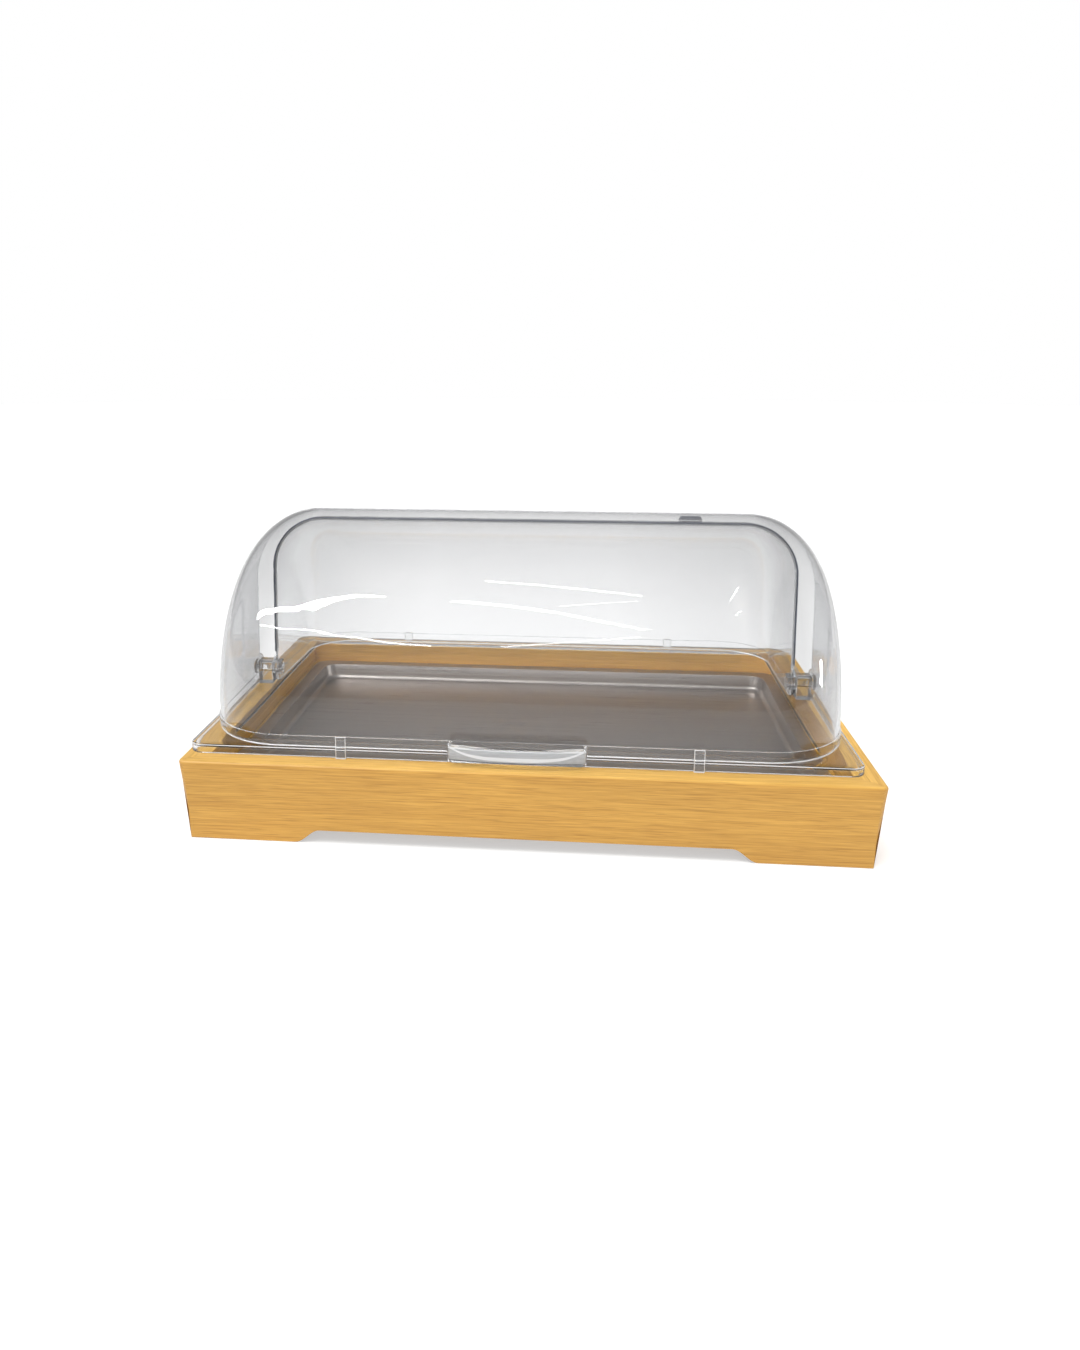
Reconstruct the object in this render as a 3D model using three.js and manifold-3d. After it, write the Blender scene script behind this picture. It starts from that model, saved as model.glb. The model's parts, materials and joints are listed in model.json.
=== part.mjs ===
// Roll-top display case: an oak box with a steel tray, and two nested clear covers on a clear frame.
// Millimetres, +Z up. The origin is the middle of the box's footprint, on the table. -Y is the front.
import * as THREE from 'three';
import { mergeVertices } from 'three/addons/utils/BufferGeometryUtils.js';
import Module from 'manifold-3d';

const wasm = await Module();
wasm.setup();

// General
const touchGap = 0.3;
const overrun = 5;
const roundSteps = 6;
const sweepSteps = 60;
const pinSteps = 24;
const weldDistance = 1e-4;

// Steel tray: a full-size catering tray, which the rest is built round
const trayWidth = 530;
const trayDepth = 325;
const trayRimDrop = 20;
const trayRimWidth = 12;
const trayRimCornerRadius = 14;
const traySheet = 1;
const trayHollow = 16;
const trayWallSlope = 2;
const trayFloorRadius = 5;

// Oak box
const trayPlayX = 5;
const trayPlayY = 2.5;
const sideRailThickness = 23;
const longRailThickness = 20;
const boxHeight = 73;
const boxTaper = 6;
const boxCornerRadius = 6;
const boxEdgeRadius = 2.5;
const mitreGap = 0.2;
const mitreOverShare = 0.6;
const openingWidth = trayWidth + 2 * trayPlayX;
const openingDepth = trayDepth + 2 * trayPlayY;
const boxWidth = openingWidth + 2 * sideRailThickness;
const boxDepth = openingDepth + 2 * longRailThickness;

// Arches between the feet
const archHeight = 12;
const longFootLength = 92;
const shortFootLength = 84;
const shoulderRun = 22;
const shoulderSteps = 8;

// Ledges that carry the tray
const ledgeHeight = 12;
const ledgeTrayGap = 1.2;

// Clear frame
const frameOverX = 15;
const frameOverY = 2.5;
const frameHeight = 8;
const frameWall = 3;
const frameCornerRadius = 9;
const frameEdgeRadius = 1;
const frameTopWidthX = 31;
const frameTopWidthY = 18.5;
const frameInnerCornerRadius = 22;
const stripPlayX = 6;
const stripPlayY = 3;
const stripDrop = 9;
const stripWall = 2.5;
const stripEndInset = 30;
const coverShift = -5;
const frameWidth = openingWidth + 2 * frameOverX;
const frameDepth = openingDepth + 2 * frameOverY;
const frameInnerWidth = frameWidth - 2 * frameTopWidthX;
const frameInnerDepth = frameDepth - 2 * frameTopWidthY;

// Covers, swept about the pivot axis
const pivotRise = 24.6;
const coverWall = 3;
const coverDraftShare = 0.02;
const bandHeight = 10;
const bandProud = 1.2;
const earRadius = 13;
const frontFootMarginX = 5;
const frontFootMarginY = 2.5;
const frontCornerRadius = 72;
const spaceBetweenEnds = 20;
const spaceBetweenBarrels = 10;
const rearCornerRadius = 51;
const rearEdgeSetback = 1;
const frontHalfWidth = frameWidth / 2 - frontFootMarginX;
const frontRadius = frameDepth / 2 - frontFootMarginY;
const rearHalfWidth = frontHalfWidth - spaceBetweenEnds;
const rearRadius = frontRadius - spaceBetweenBarrels;

// Dark seal on the rear cover's front edge
const sealThickness = 1.9;
const sealProud = 0.8;
const sealStartRise = 15;

// Pivots
const pinRadius = 4;
const pinClearance = 0.3;
const pinHeadRadius = 7.5;
const pinHeadThickness = 2.5;
const knobRadius = 8;
const knobThickness = 5;
const knobSlotWidth = 2;
const knobSlotDepth = 2;
const postDepth = 16;
const postTopRise = 8;
const postSideGap = 0.8;

// Bumper on top of the rear cover
const bumperRadius = 11.5;
const bumperRingWall = 3;
const bumperHeight = 5;
const bumperDiscHeight = 4;
const bumperInset = 105;
const bumperSetback = 17;

// Lugs on the frame
const lugInset = 135;
const lugWidth = 9;
const lugThickness = 2.4;
const frontLugHeight = 20;
const backLugHeight = 10;
const backLugSetback = 2;

// Finger grip on the front cover
const gripWidth = 116;
const gripReach = 16;
const gripTopRise = 11;
const gripHeight = 14;
const gripWall = 2.5;
const gripCornerRadius = 7;
const gripPocketBow = 5;
const gripFrameGap = 1;

// Heights and sides worked out from the sizes above
const frameTop = boxHeight + touchGap + frameHeight;
const pivotHeight = boxHeight + pivotRise;
const coverBottom = frameTop + touchGap - pivotHeight;
const trayRimTop = boxHeight - trayRimDrop;

const oak = { color: 0xc99f5b, roughness: 0.55, metalness: 0 };
const oakInside = { color: 0xa9824a, roughness: 0.7, metalness: 0 };
const steel = { color: 0x9a9ca0, roughness: 0.35, metalness: 1 };
const clear = { color: 0xdfe4e8, roughness: 0.08, metalness: 0, transparent: true, opacity: 0.3 };
const darkRubber = { color: 0x23262b, roughness: 0.8, metalness: 0 };

// Turns a closed geometry into a solid with its faces pointing out.
function solidOf(geometry) {
  const bare = geometry.clone();
  for (const name of Object.keys(bare.attributes)) {
    if (name !== 'position') bare.deleteAttribute(name);
  }
  const merged = mergeVertices(bare, weldDistance);
  const at = merged.attributes.position;
  const index = merged.index.array;
  const triangles = [];
  let volume = 0;
  const corners = [new THREE.Vector3(), new THREE.Vector3(), new THREE.Vector3()];
  for (let i = 0; i < index.length; i += 3) {
    const three = [index[i], index[i + 1], index[i + 2]];
    if (new Set(three).size < 3) continue;
    triangles.push(three);
    three.forEach((vertex, k) => corners[k].fromBufferAttribute(at, vertex));
    volume += corners[0].dot(corners[1].clone().cross(corners[2]));
  }
  const outward = volume > 0 ? triangles : triangles.map((three) => three.slice().reverse());
  return new wasm.Manifold(new wasm.Mesh({
    numProp: 3,
    vertProperties: new Float32Array(at.array),
    triVerts: new Uint32Array(outward.flat()),
  }));
}

function geometryOf(solid) {
  const mesh = solid.getMesh();
  const geometry = new THREE.BufferGeometry();
  geometry.setAttribute('position', new THREE.BufferAttribute(new Float32Array(mesh.vertProperties), 3));
  geometry.setIndex(new THREE.BufferAttribute(new Uint32Array(mesh.triVerts), 1));
  return geometry;
}

// A box from its low corner to its high corner.
function block(low, high) {
  const size = high.map((value, axis) => value - low[axis]);
  const middle = high.map((value, axis) => (value + low[axis]) / 2);
  return solidOf(new THREE.BoxGeometry(...size).translate(...middle));
}

// A round bar along X between two places.
function barAlongX(radius, start, end) {
  const bar = new THREE.CylinderGeometry(radius, radius, Math.abs(end - start), pinSteps);
  return solidOf(bar.rotateZ(Math.PI / 2).translate((start + end) / 2, 0, 0));
}

// One level outline of a rectangle with rounded corners.
function roundedRing(width, depth, radius, z) {
  const points = [];
  const middleX = width / 2 - radius;
  const middleY = depth / 2 - radius;
  const quarters = [[1, 1], [-1, 1], [-1, -1], [1, -1]];
  quarters.forEach(([sideX, sideY], quarter) => {
    for (let step = 0; step <= roundSteps; step += 1) {
      const angle = (quarter + step / roundSteps) * Math.PI / 2;
      const x = sideX * middleX + radius * Math.cos(angle);
      const y = sideY * middleY + radius * Math.sin(angle);
      points.push(new THREE.Vector3(x, y, z));
    }
  });
  return points;
}

// Joins outlines of equal counts into a skin. The ends are capped, or joined when it closes on itself.
function skinOver(rings, closesOnItself = false) {
  const count = rings[0].length;
  const points = rings.flat();
  const faces = [];
  const last = closesOnItself ? rings.length : rings.length - 1;
  for (let ring = 0; ring < last; ring += 1) {
    const here = ring * count;
    const next = ((ring + 1) % rings.length) * count;
    for (let i = 0; i < count; i += 1) {
      const j = (i + 1) % count;
      faces.push(here + i, here + j, next + j, here + i, next + j, next + i);
    }
  }
  if (!closesOnItself) {
    const top = (rings.length - 1) * count;
    for (let i = 1; i < count - 1; i += 1) {
      faces.push(0, i + 1, i, top, top + i, top + i + 1);
    }
  }
  const geometry = new THREE.BufferGeometry();
  geometry.setAttribute('position', new THREE.Float32BufferAttribute(points.flatMap((p) => p.toArray()), 3));
  geometry.setIndex(faces);
  return solidOf(geometry);
}

// The whole oak box with its slanted sides, soft top edge, opening and arches.
function oakBox() {
  const rings = [roundedRing(boxWidth - 2 * boxTaper, boxDepth - 2 * boxTaper, boxCornerRadius, 0)];
  for (let step = 0; step <= roundSteps; step += 1) {
    const angle = step / roundSteps * Math.PI / 2;
    const inset = 2 * boxEdgeRadius * (1 - Math.cos(angle));
    const z = boxHeight - boxEdgeRadius * (1 - Math.sin(angle));
    rings.push(roundedRing(boxWidth - inset, boxDepth - inset, boxCornerRadius, z));
  }
  const opening = block(
    [-openingWidth / 2, -openingDepth / 2, -overrun],
    [openingWidth / 2, openingDepth / 2, boxHeight + overrun],
  );
  const longArch = archCut(boxWidth, longFootLength, boxDepth);
  const shortArch = archCut(boxDepth, shortFootLength, boxWidth).rotate([0, 0, 90]);
  return skinOver(rings).subtract(opening).subtract(longArch).subtract(shortArch);
}

// The space under two opposite rails: a low arch with S-shaped shoulders beside the feet.
function archCut(length, footLength, through) {
  const footEnd = length / 2 - boxTaper - footLength;
  const right = [];
  for (let step = 0; step <= shoulderSteps; step += 1) {
    const share = step / shoulderSteps;
    const rise = archHeight * (1 - Math.cos(share * Math.PI)) / 2;
    right.push(new THREE.Vector2(footEnd - shoulderRun * share, rise));
  }
  const left = right.map((point) => new THREE.Vector2(-point.x, point.y)).reverse();
  const below = [new THREE.Vector2(-footEnd, -overrun), new THREE.Vector2(footEnd, -overrun)];
  const shape = new THREE.Shape([...below, ...right, ...left]);
  const depth = through + 2 * overrun;
  const geometry = new THREE.ExtrudeGeometry(shape, { depth, bevelEnabled: false });
  return solidOf(geometry.rotateX(Math.PI / 2).translate(0, depth / 2, 0));
}

// The plan area that one rail takes, between the mitre lines of its two ends.
function railArea(side, alongX) {
  const reach = { x: (boxWidth - openingWidth) / 2, y: (boxDepth - openingDepth) / 2 };
  const inner = {
    x: openingWidth / 2 - mitreOverShare * reach.x,
    y: openingDepth / 2 - mitreOverShare * reach.y,
  };
  const outer = {
    x: boxWidth / 2 + mitreOverShare * reach.x,
    y: boxDepth / 2 + mitreOverShare * reach.y,
  };
  const corners = alongX
    ? [[-inner.x, inner.y], [inner.x, inner.y], [outer.x, outer.y], [-outer.x, outer.y]]
    : [[inner.x, -inner.y], [outer.x, -outer.y], [outer.x, outer.y], [inner.x, inner.y]];
  const shape = new THREE.Shape(corners.map(([x, y]) => (alongX
    ? new THREE.Vector2(x, side * (y + mitreGap))
    : new THREE.Vector2(side * (x + mitreGap), y))));
  const depth = boxHeight + 2 * overrun;
  return solidOf(new THREE.ExtrudeGeometry(shape, { depth, bevelEnabled: false }).translate(0, 0, -overrun));
}

// Battens inside the rails, just under the tray's rim and clear of the tray's walls.
function ledges() {
  const top = trayRimTop - traySheet - touchGap;
  const bottom = top - ledgeHeight;
  const endX = openingWidth / 2 - touchGap;
  const endY = openingDepth / 2 - touchGap;
  const innerX = trayWidth / 2 - trayRimWidth + ledgeTrayGap;
  const innerY = trayDepth / 2 - trayRimWidth + ledgeTrayGap;
  const sideEndY = innerY - touchGap;
  return {
    ledge_front: block([-endX, -endY, bottom], [endX, -innerY, top]),
    ledge_back: block([-endX, innerY, bottom], [endX, endY, top]),
    ledge_left: block([-endX, -sideEndY, bottom], [-innerX, sideEndY, top]),
    ledge_right: block([innerX, -sideEndY, bottom], [endX, sideEndY, top]),
  };
}

// Pressed sheet: from the underside of the floor, out along the rim and back over the top to the floor.
function steelTray() {
  const wallInset = 2 * trayRimWidth;
  const floorInset = wallInset + 2 * trayWallSlope;
  const wallCorner = trayRimCornerRadius + traySheet;
  const ring = (inset, z, corner) => roundedRing(trayWidth - inset, trayDepth - inset, corner, z);
  const floorTop = trayRimTop - trayHollow;
  const floorRings = (shift, lift) => {
    const rings = [];
    for (let step = 0; step <= roundSteps; step += 1) {
      const angle = step / roundSteps * Math.PI / 2;
      const along = trayFloorRadius * (1 - Math.sin(angle));
      const up = trayFloorRadius * (1 - Math.cos(angle));
      rings.push(ring(floorInset + shift + 2 * along, floorTop + lift + up, wallCorner));
    }
    return rings;
  };
  const under = floorRings(0, -traySheet);
  const over = floorRings(2 * traySheet, 0).reverse();
  return skinOver([
    ...under,
    ring(wallInset, trayRimTop - traySheet, wallCorner),
    ring(0, trayRimTop - traySheet, trayRimCornerRadius),
    ring(0, trayRimTop, trayRimCornerRadius),
    ring(wallInset + 2 * traySheet, trayRimTop, wallCorner),
    ...over,
  ]);
}

// The frame that the covers stand on: an outer wall on the box's top and a level rim.
function clearFrame() {
  const bottom = boxHeight + touchGap;
  const underTop = frameTop - frameWall;
  const outer = (inset, z) => roundedRing(frameWidth - inset, frameDepth - inset, frameCornerRadius, z);
  const inner = (z) => roundedRing(frameInnerWidth, frameInnerDepth, frameInnerCornerRadius, z);
  return skinOver([
    outer(0, bottom),
    outer(0, frameTop - frameEdgeRadius),
    outer(2 * frameEdgeRadius, frameTop),
    inner(frameTop),
    inner(underTop),
    outer(2 * frameWall, underTop),
    outer(2 * frameWall, bottom),
  ], true);
}

// Straight strips under the frame's rim that reach down into the opening and keep the frame in place.
function locatingStrips() {
  const low = boxHeight - stripDrop;
  const high = frameTop - frameWall - touchGap;
  const outerX = openingWidth / 2 - stripPlayX;
  const outerY = openingDepth / 2 - stripPlayY;
  const endX = outerX - stripEndInset;
  const endY = outerY - stripEndInset;
  return {
    locating_strip_front: block([-endX, -outerY, low], [endX, -outerY + stripWall, high]),
    locating_strip_back: block([-endX, outerY - stripWall, low], [endX, outerY, high]),
    locating_strip_left: block([-outerX, -endY, low], [-outerX + stripWall, endY, high]),
    locating_strip_right: block([outerX - stripWall, -endY, low], [outerX, endY, high]),
  };
}

// A solid swept about the X axis: a barrel with slightly drafted ends and a rounded corner.
function barrel(halfWidth, radius, corner) {
  const cornerRise = radius - corner;
  const cornerMiddle = halfWidth - coverDraftShare * cornerRise - corner;
  const half = [new THREE.Vector2(0, halfWidth)];
  for (let step = 0; step <= 2 * roundSteps; step += 1) {
    const angle = step / (2 * roundSteps) * Math.PI / 2;
    const out = cornerRise + corner * Math.sin(angle);
    const along = cornerMiddle + corner * Math.cos(angle);
    half.push(new THREE.Vector2(out, along));
  }
  const other = half.map((point) => new THREE.Vector2(point.x, -point.y));
  const profile = [...other, ...half.reverse()];
  return solidOf(new THREE.LatheGeometry(profile, sweepSteps).rotateZ(Math.PI / 2));
}

function grownBarrel(cover, growth) {
  return barrel(cover.halfWidth + growth, cover.radius + growth, cover.corner + growth);
}

const rear = { halfWidth: rearHalfWidth, radius: rearRadius, corner: rearCornerRadius };
const front = { halfWidth: frontHalfWidth, radius: frontRadius, corner: frontCornerRadius };

// One cover about the pivot axis: a thin shell with a proud band at its foot and ears round the pivots.
// Side is -1 for the front cover and 1 for the rear one.
function coverShell(cover, side, edge) {
  const reach = cover.halfWidth + overrun;
  const far = cover.radius + overrun;
  const near = [edge, side * far];
  const half = block([-reach, Math.min(...near), coverBottom], [reach, Math.max(...near), far]);
  const bandTop = coverBottom + bandHeight;
  const bandArea = block([-reach, -far, coverBottom], [reach, far, bandTop]);
  const band = grownBarrel(cover, bandProud).intersect(bandArea);
  const skin = grownBarrel(cover, 0).add(band).subtract(grownBarrel(cover, -coverWall));
  const ears = barAlongX(earRadius, -reach, reach);
  const pinHole = barAlongX(pinRadius + pinClearance, -reach, reach);
  return skin.intersect(half.add(ears)).subtract(pinHole);
}

// Dark strip along the rear cover's front edge, from above one pivot over to the other.
function edgeSeal() {
  const reach = rear.halfWidth + overrun;
  const back = rearEdgeSetback - touchGap;
  const slice = block([-reach, back - sealThickness, sealStartRise], [reach, back, rear.radius + overrun]);
  return grownBarrel(rear, sealProud).subtract(grownBarrel(rear, -coverWall - sealProud)).intersect(slice);
}

// Post between the covers' end walls that carries the pivot pin. Side is -1 for left and 1 for right.
function bearingPost(side) {
  const inner = rear.halfWidth + bandProud + touchGap;
  const outer = front.halfWidth - coverWall - postSideGap;
  const ends = [side * inner, side * outer];
  const post = block(
    [Math.min(...ends), -postDepth / 2, coverBottom],
    [Math.max(...ends), postDepth / 2, postTopRise],
  );
  return post.subtract(barAlongX(pinRadius + pinClearance, ends[0], ends[1] + side * overrun)
    .add(barAlongX(pinRadius + pinClearance, ends[0] - side * overrun, ends[1])));
}

// Headed pin through the front cover, the post and the rear cover.
function pivotPin(side) {
  const headStart = front.halfWidth + bandProud + touchGap;
  const innerEnd = rear.halfWidth - coverWall - touchGap - knobThickness;
  const shank = barAlongX(pinRadius, side * innerEnd, side * (headStart + pinHeadThickness / 2));
  const head = barAlongX(pinHeadRadius, side * headStart, side * (headStart + pinHeadThickness));
  return shank.add(head);
}

// Round snap knob with a cross cut in its face, on the pin's inner end.
function snapKnob(side) {
  const outer = rear.halfWidth - coverWall - coverDraftShare * knobRadius - touchGap;
  const inner = outer - knobThickness;
  const body = barAlongX(knobRadius, side * inner, side * outer);
  const hole = barAlongX(pinRadius + pinClearance, side * (inner - overrun), side * (outer + overrun));
  const slotEnds = [side * (inner - overrun), side * (inner + knobSlotDepth)];
  const low = Math.min(...slotEnds);
  const high = Math.max(...slotEnds);
  const halfSlot = knobSlotWidth / 2;
  const far = knobRadius + overrun;
  const upright = block([low, -halfSlot, -far], [high, halfSlot, far]);
  const level = block([low, -far, -halfSlot], [high, far, halfSlot]);
  return body.subtract(hole).subtract(upright).subtract(level);
}

// A short upright drum on the rear cover's top, cut to sit on the curve.
function bumperDrum(outerRadius, innerRadius, height) {
  const bottom = rear.radius - bumperRadius;
  const top = rear.radius + height;
  const drum = (radius, from, to) => solidOf(new THREE.CylinderGeometry(radius, radius, to - from, pinSteps)
    .rotateX(Math.PI / 2)
    .translate(rear.halfWidth - bumperInset, 0, (from + to) / 2));
  const lean = -Math.asin(bumperSetback / rear.radius) * 180 / Math.PI;
  let piece = drum(outerRadius, bottom, top);
  if (innerRadius > 0) piece = piece.subtract(drum(innerRadius, bottom - overrun, top + overrun));
  return piece.rotate([lean, 0, 0]).subtract(grownBarrel(rear, touchGap));
}

// Upright lugs: the front pair against the frame's wall, the back pair on its top behind the rear cover.
function frameLug(side, atFront) {
  const low = atFront ? boxHeight + touchGap : frameTop + touchGap;
  const high = low + (atFront ? frontLugHeight : backLugHeight);
  const near = atFront
    ? -frameDepth / 2 - touchGap - lugThickness
    : rear.radius + bandProud + backLugSetback;
  const left = side * (frameWidth / 2 - lugInset) - lugWidth / 2;
  return block([left, near, low], [left + lugWidth, near + lugThickness, high]);
}

// Hollow-backed grip on the front cover's band, about the pivot axis.
function fingerGrip() {
  const top = coverBottom + gripTopRise;
  const bottom = top - gripHeight;
  const outline = roundedRing(gripWidth, 2 * (frontRadius + gripReach), gripCornerRadius, bottom);
  const upper = outline.map((point) => new THREE.Vector3(point.x, point.y, top));
  const whole = skinOver([outline, upper]);
  const frontHalf = block(
    [-gripWidth, -frontRadius - gripReach - overrun, bottom - overrun],
    [gripWidth, -frontRadius / 2, top + overrun],
  );
  const halfPocket = gripWidth / 2 - gripWall;
  const pocketFront = -frontRadius - gripReach + gripWall;
  const pocketBack = -frontRadius + bandProud;
  const shape = new THREE.Shape();
  shape.moveTo(-halfPocket, pocketFront + gripPocketBow);
  shape.quadraticCurveTo(0, pocketFront - gripPocketBow, halfPocket, pocketFront + gripPocketBow);
  shape.lineTo(halfPocket, pocketBack);
  shape.lineTo(-halfPocket, pocketBack);
  shape.closePath();
  const depth = gripHeight - gripWall + overrun;
  const extruded = new THREE.ExtrudeGeometry(shape, { depth, bevelEnabled: false, curveSegments: roundSteps });
  const pocket = solidOf(extruded.translate(0, 0, bottom - overrun));
  const frameRoom = block(
    [-gripWidth, -frameDepth / 2 - gripFrameGap, bottom - overrun],
    [gripWidth, 0, coverBottom - touchGap + gripFrameGap],
  );
  return whole.intersect(frontHalf).subtract(pocket).subtract(frameRoom)
    .subtract(grownBarrel(front, bandProud + touchGap));
}

function addMesh(parent, name, solid, material) {
  const mesh = new THREE.Mesh(geometryOf(solid), new THREE.MeshStandardMaterial(material));
  mesh.name = name;
  parent.add(mesh);
}

const displayCase = new THREE.Group();
displayCase.name = 'roll_top_display_case';

const box = oakBox();
const halfTurn = [0, 0, 180];
const longRail = box.intersect(railArea(-1, true));
const shortRail = box.intersect(railArea(-1, false));
addMesh(displayCase, 'rail_front', longRail, oak);
addMesh(displayCase, 'rail_back', longRail.rotate(halfTurn), oak);
addMesh(displayCase, 'rail_left', shortRail, oak);
addMesh(displayCase, 'rail_right', shortRail.rotate(halfTurn), oak);
for (const [name, solid] of Object.entries(ledges())) addMesh(displayCase, name, solid, oakInside);
addMesh(displayCase, 'steel_tray', steelTray(), steel);

const coverSet = new THREE.Group();
coverSet.position.set(coverShift, 0, 0);
displayCase.add(coverSet);
addMesh(coverSet, 'clear_frame', clearFrame(), clear);
for (const [name, solid] of Object.entries(locatingStrips())) addMesh(coverSet, name, solid, clear);

const aboutPivot = new THREE.Group();
aboutPivot.position.set(0, 0, pivotHeight);
coverSet.add(aboutPivot);
addMesh(aboutPivot, 'rear_cover', coverShell(rear, 1, rearEdgeSetback), clear);
addMesh(aboutPivot, 'edge_seal', edgeSeal(), darkRubber);
addMesh(aboutPivot, 'bumper_ring', bumperDrum(bumperRadius, bumperRadius - bumperRingWall, bumperHeight), darkRubber);
const discRadius = bumperRadius - bumperRingWall - touchGap;
addMesh(aboutPivot, 'bumper_disc', bumperDrum(discRadius, 0, bumperDiscHeight), clear);
addMesh(aboutPivot, 'front_cover', coverShell(front, -1, 0), clear);
addMesh(aboutPivot, 'front_grip', fingerGrip(), clear);
for (const [word, side] of [['left', -1], ['right', 1]]) {
  addMesh(aboutPivot, `bearing_post_${word}`, bearingPost(side), clear);
  addMesh(aboutPivot, `pivot_pin_${word}`, pivotPin(side), clear);
  addMesh(aboutPivot, `snap_knob_${word}`, snapKnob(side), clear);
  addMesh(coverSet, `front_lug_${word}`, frameLug(side, true), clear);
  addMesh(coverSet, `back_lug_${word}`, frameLug(side, false), clear);
}

export default displayCase;
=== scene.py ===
"""Dresses the roll-top display case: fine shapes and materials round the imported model."""

import json
import math

import bmesh
import bpy
from mathutils import Matrix, Vector


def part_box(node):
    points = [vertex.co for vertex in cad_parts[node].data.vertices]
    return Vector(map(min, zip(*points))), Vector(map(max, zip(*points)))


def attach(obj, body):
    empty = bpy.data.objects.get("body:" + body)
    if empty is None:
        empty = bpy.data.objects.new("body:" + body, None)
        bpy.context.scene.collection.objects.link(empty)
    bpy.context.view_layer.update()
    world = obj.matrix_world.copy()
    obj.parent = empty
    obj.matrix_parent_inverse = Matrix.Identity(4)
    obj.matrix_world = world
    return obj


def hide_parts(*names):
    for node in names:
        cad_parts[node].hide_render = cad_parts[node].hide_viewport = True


bl_info = {
    "name": "Roll-Top Display Case",
    "version": (1, 0, 0),
    "blender": (4, 5, 0),
    "location": "3D View > Sidebar > Display Case",
    "description": "Builds the finished surfaces of a tabletop display case with a clear roll-top cover",
    "category": "Object",
}

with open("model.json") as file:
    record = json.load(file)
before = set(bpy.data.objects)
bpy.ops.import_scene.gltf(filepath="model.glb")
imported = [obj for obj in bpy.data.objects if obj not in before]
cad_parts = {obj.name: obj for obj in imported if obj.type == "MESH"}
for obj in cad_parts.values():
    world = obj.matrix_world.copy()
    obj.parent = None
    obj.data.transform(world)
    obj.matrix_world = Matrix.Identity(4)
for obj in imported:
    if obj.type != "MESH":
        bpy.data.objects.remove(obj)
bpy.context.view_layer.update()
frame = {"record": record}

BODY_OF = {
    node: body
    for body, nodes in frame["record"]["behaviour"]["bodies"].items()
    for node in nodes
}

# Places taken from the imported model
OPENING_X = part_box("rail_right")[0].x
OPENING_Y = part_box("rail_back")[0].y
BOX_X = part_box("rail_right")[1].x
BOX_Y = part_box("rail_back")[1].y
BOX_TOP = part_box("rail_back")[1].z
FRAME_LOW, FRAME_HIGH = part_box("clear_frame")
COVER_MIDDLE_X = (FRAME_LOW.x + FRAME_HIGH.x) / 2
PIVOT_Z = (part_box("pivot_pin_left")[0].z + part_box("pivot_pin_left")[1].z) / 2
PIVOT = Vector((COVER_MIDDLE_X, 0, PIVOT_Z))
COVER_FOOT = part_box("front_cover")[0].z - PIVOT_Z

# Box, ledges and tray, in metres like all the sizes here
RAIL_EDGE = 0.0007
MITRE_START = 0.02
MITRE_GAP = 0.0001
LEDGE_EDGE = 0.0008
TRAY_EDGE = 0.0004
TRAY_CORNER = 0.014
TRAY_SLOPE = 0.002
TRAY_BEND = 0.005

# Clear frame, strips and lugs
FRAME_EDGE = 0.0006
FRAME_TOP_EDGE = 0.001
FRAME_CORNER = 0.012
FRAME_OPENING_CORNER = 0.022
# Faces narrower than this get a painted edge highlight
HIGHLIGHT_WIDTH = 0.00045

# Covers: their ears, rims and foot bands, measured from the pivot line or along the skin
COVER_EAR = 0.013
COVER_SOFT = 0.0005
COVER_BAND = 0.010
COVER_PROUD = 0.0012
EAR_STEP = 0.0012
BAND_START = 0.0165
BAND_RAMP = 0.002
REAR_EDGE = 0.001
RIM_ALONG_SHARE = 0.35
RIM_ACROSS_SHARE = 0.3

# Seal along the rear cover's front edge
SEAL_START = 0.015
SEAL_PROUD = 0.0002
SEAL_HEIGHT = 0.0016
SEAL_WIDTH = 0.0019
SEAL_GAP = 0.0003
SEAL_SQUARENESS = 0.72

# Bumper on the rear cover
BUMPER_RADIUS = 0.0115
BUMPER_WALL = 0.003
BUMPER_GAP = 0.0003
BUMPER_FROM_END = 0.105
BUMPER_BEHIND = 0.017
RING_TOP = 0.005
RING_DARK = 0.0033
DISC_TOP = 0.004
DISC_MIDDLE = 0.0004

# Bumper's outlines: distance from the wall's own side, and height above the skin, or None for the skin
RING_OUTSIDE = (
    (0, None), (0, 0.0016), (0.0006, 0.0026), (0.0014, 0.0042), (0.0018, 0.0047), (0.0022, RING_TOP))
RING_INSIDE = ((0.0005, RING_TOP), (0.0002, 0.0047), (0, 0.0042), (0, None))
DISC_OUTSIDE = ((0, None), (0, 0.0032), (0.0003, 0.0037), (0.001, DISC_TOP))

# Posts, pins and knobs
PIN_HOLE = 0.0043
POST_CROWN = 0.004
HOLE_REACH = 0.005
PIN_HEAD = 0.0075
PIN_HEAD_LENGTH = 0.0025
PIN_SHANK = 0.004
PIN_SOFT = 0.0008
PIN_TIP = 0.001
KNOB_RADIUS = 0.008
KNOB_SOFT = 0.0007
KNOB_EDGE = 0.0003
SLOT_WIDTH = 0.002
SLOT_DEPTH = 0.002
SLOT_REACH = 0.012
SOFT_ALONG_SHARE = 0.3
SOFT_ACROSS_SHARE = 0.7

# Finger grip
GRIP_WALL = 0.0025
GRIP_CORNER = 0.007
GRIP_BOW = 0.005
GRIP_REACH = 0.004
GRIP_GAP = 0.0002
GRIP_MARGIN = 0.001
GRIP_EDGE = 0.0009
# Faces of the grip narrower than this get a painted edge highlight
GRIP_HIGHLIGHT_WIDTH = 0.0006

# How far a face's normal has to point down or back to be chosen
FACING_DOWN = -0.2
FACING_BACK = 0.7

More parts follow.
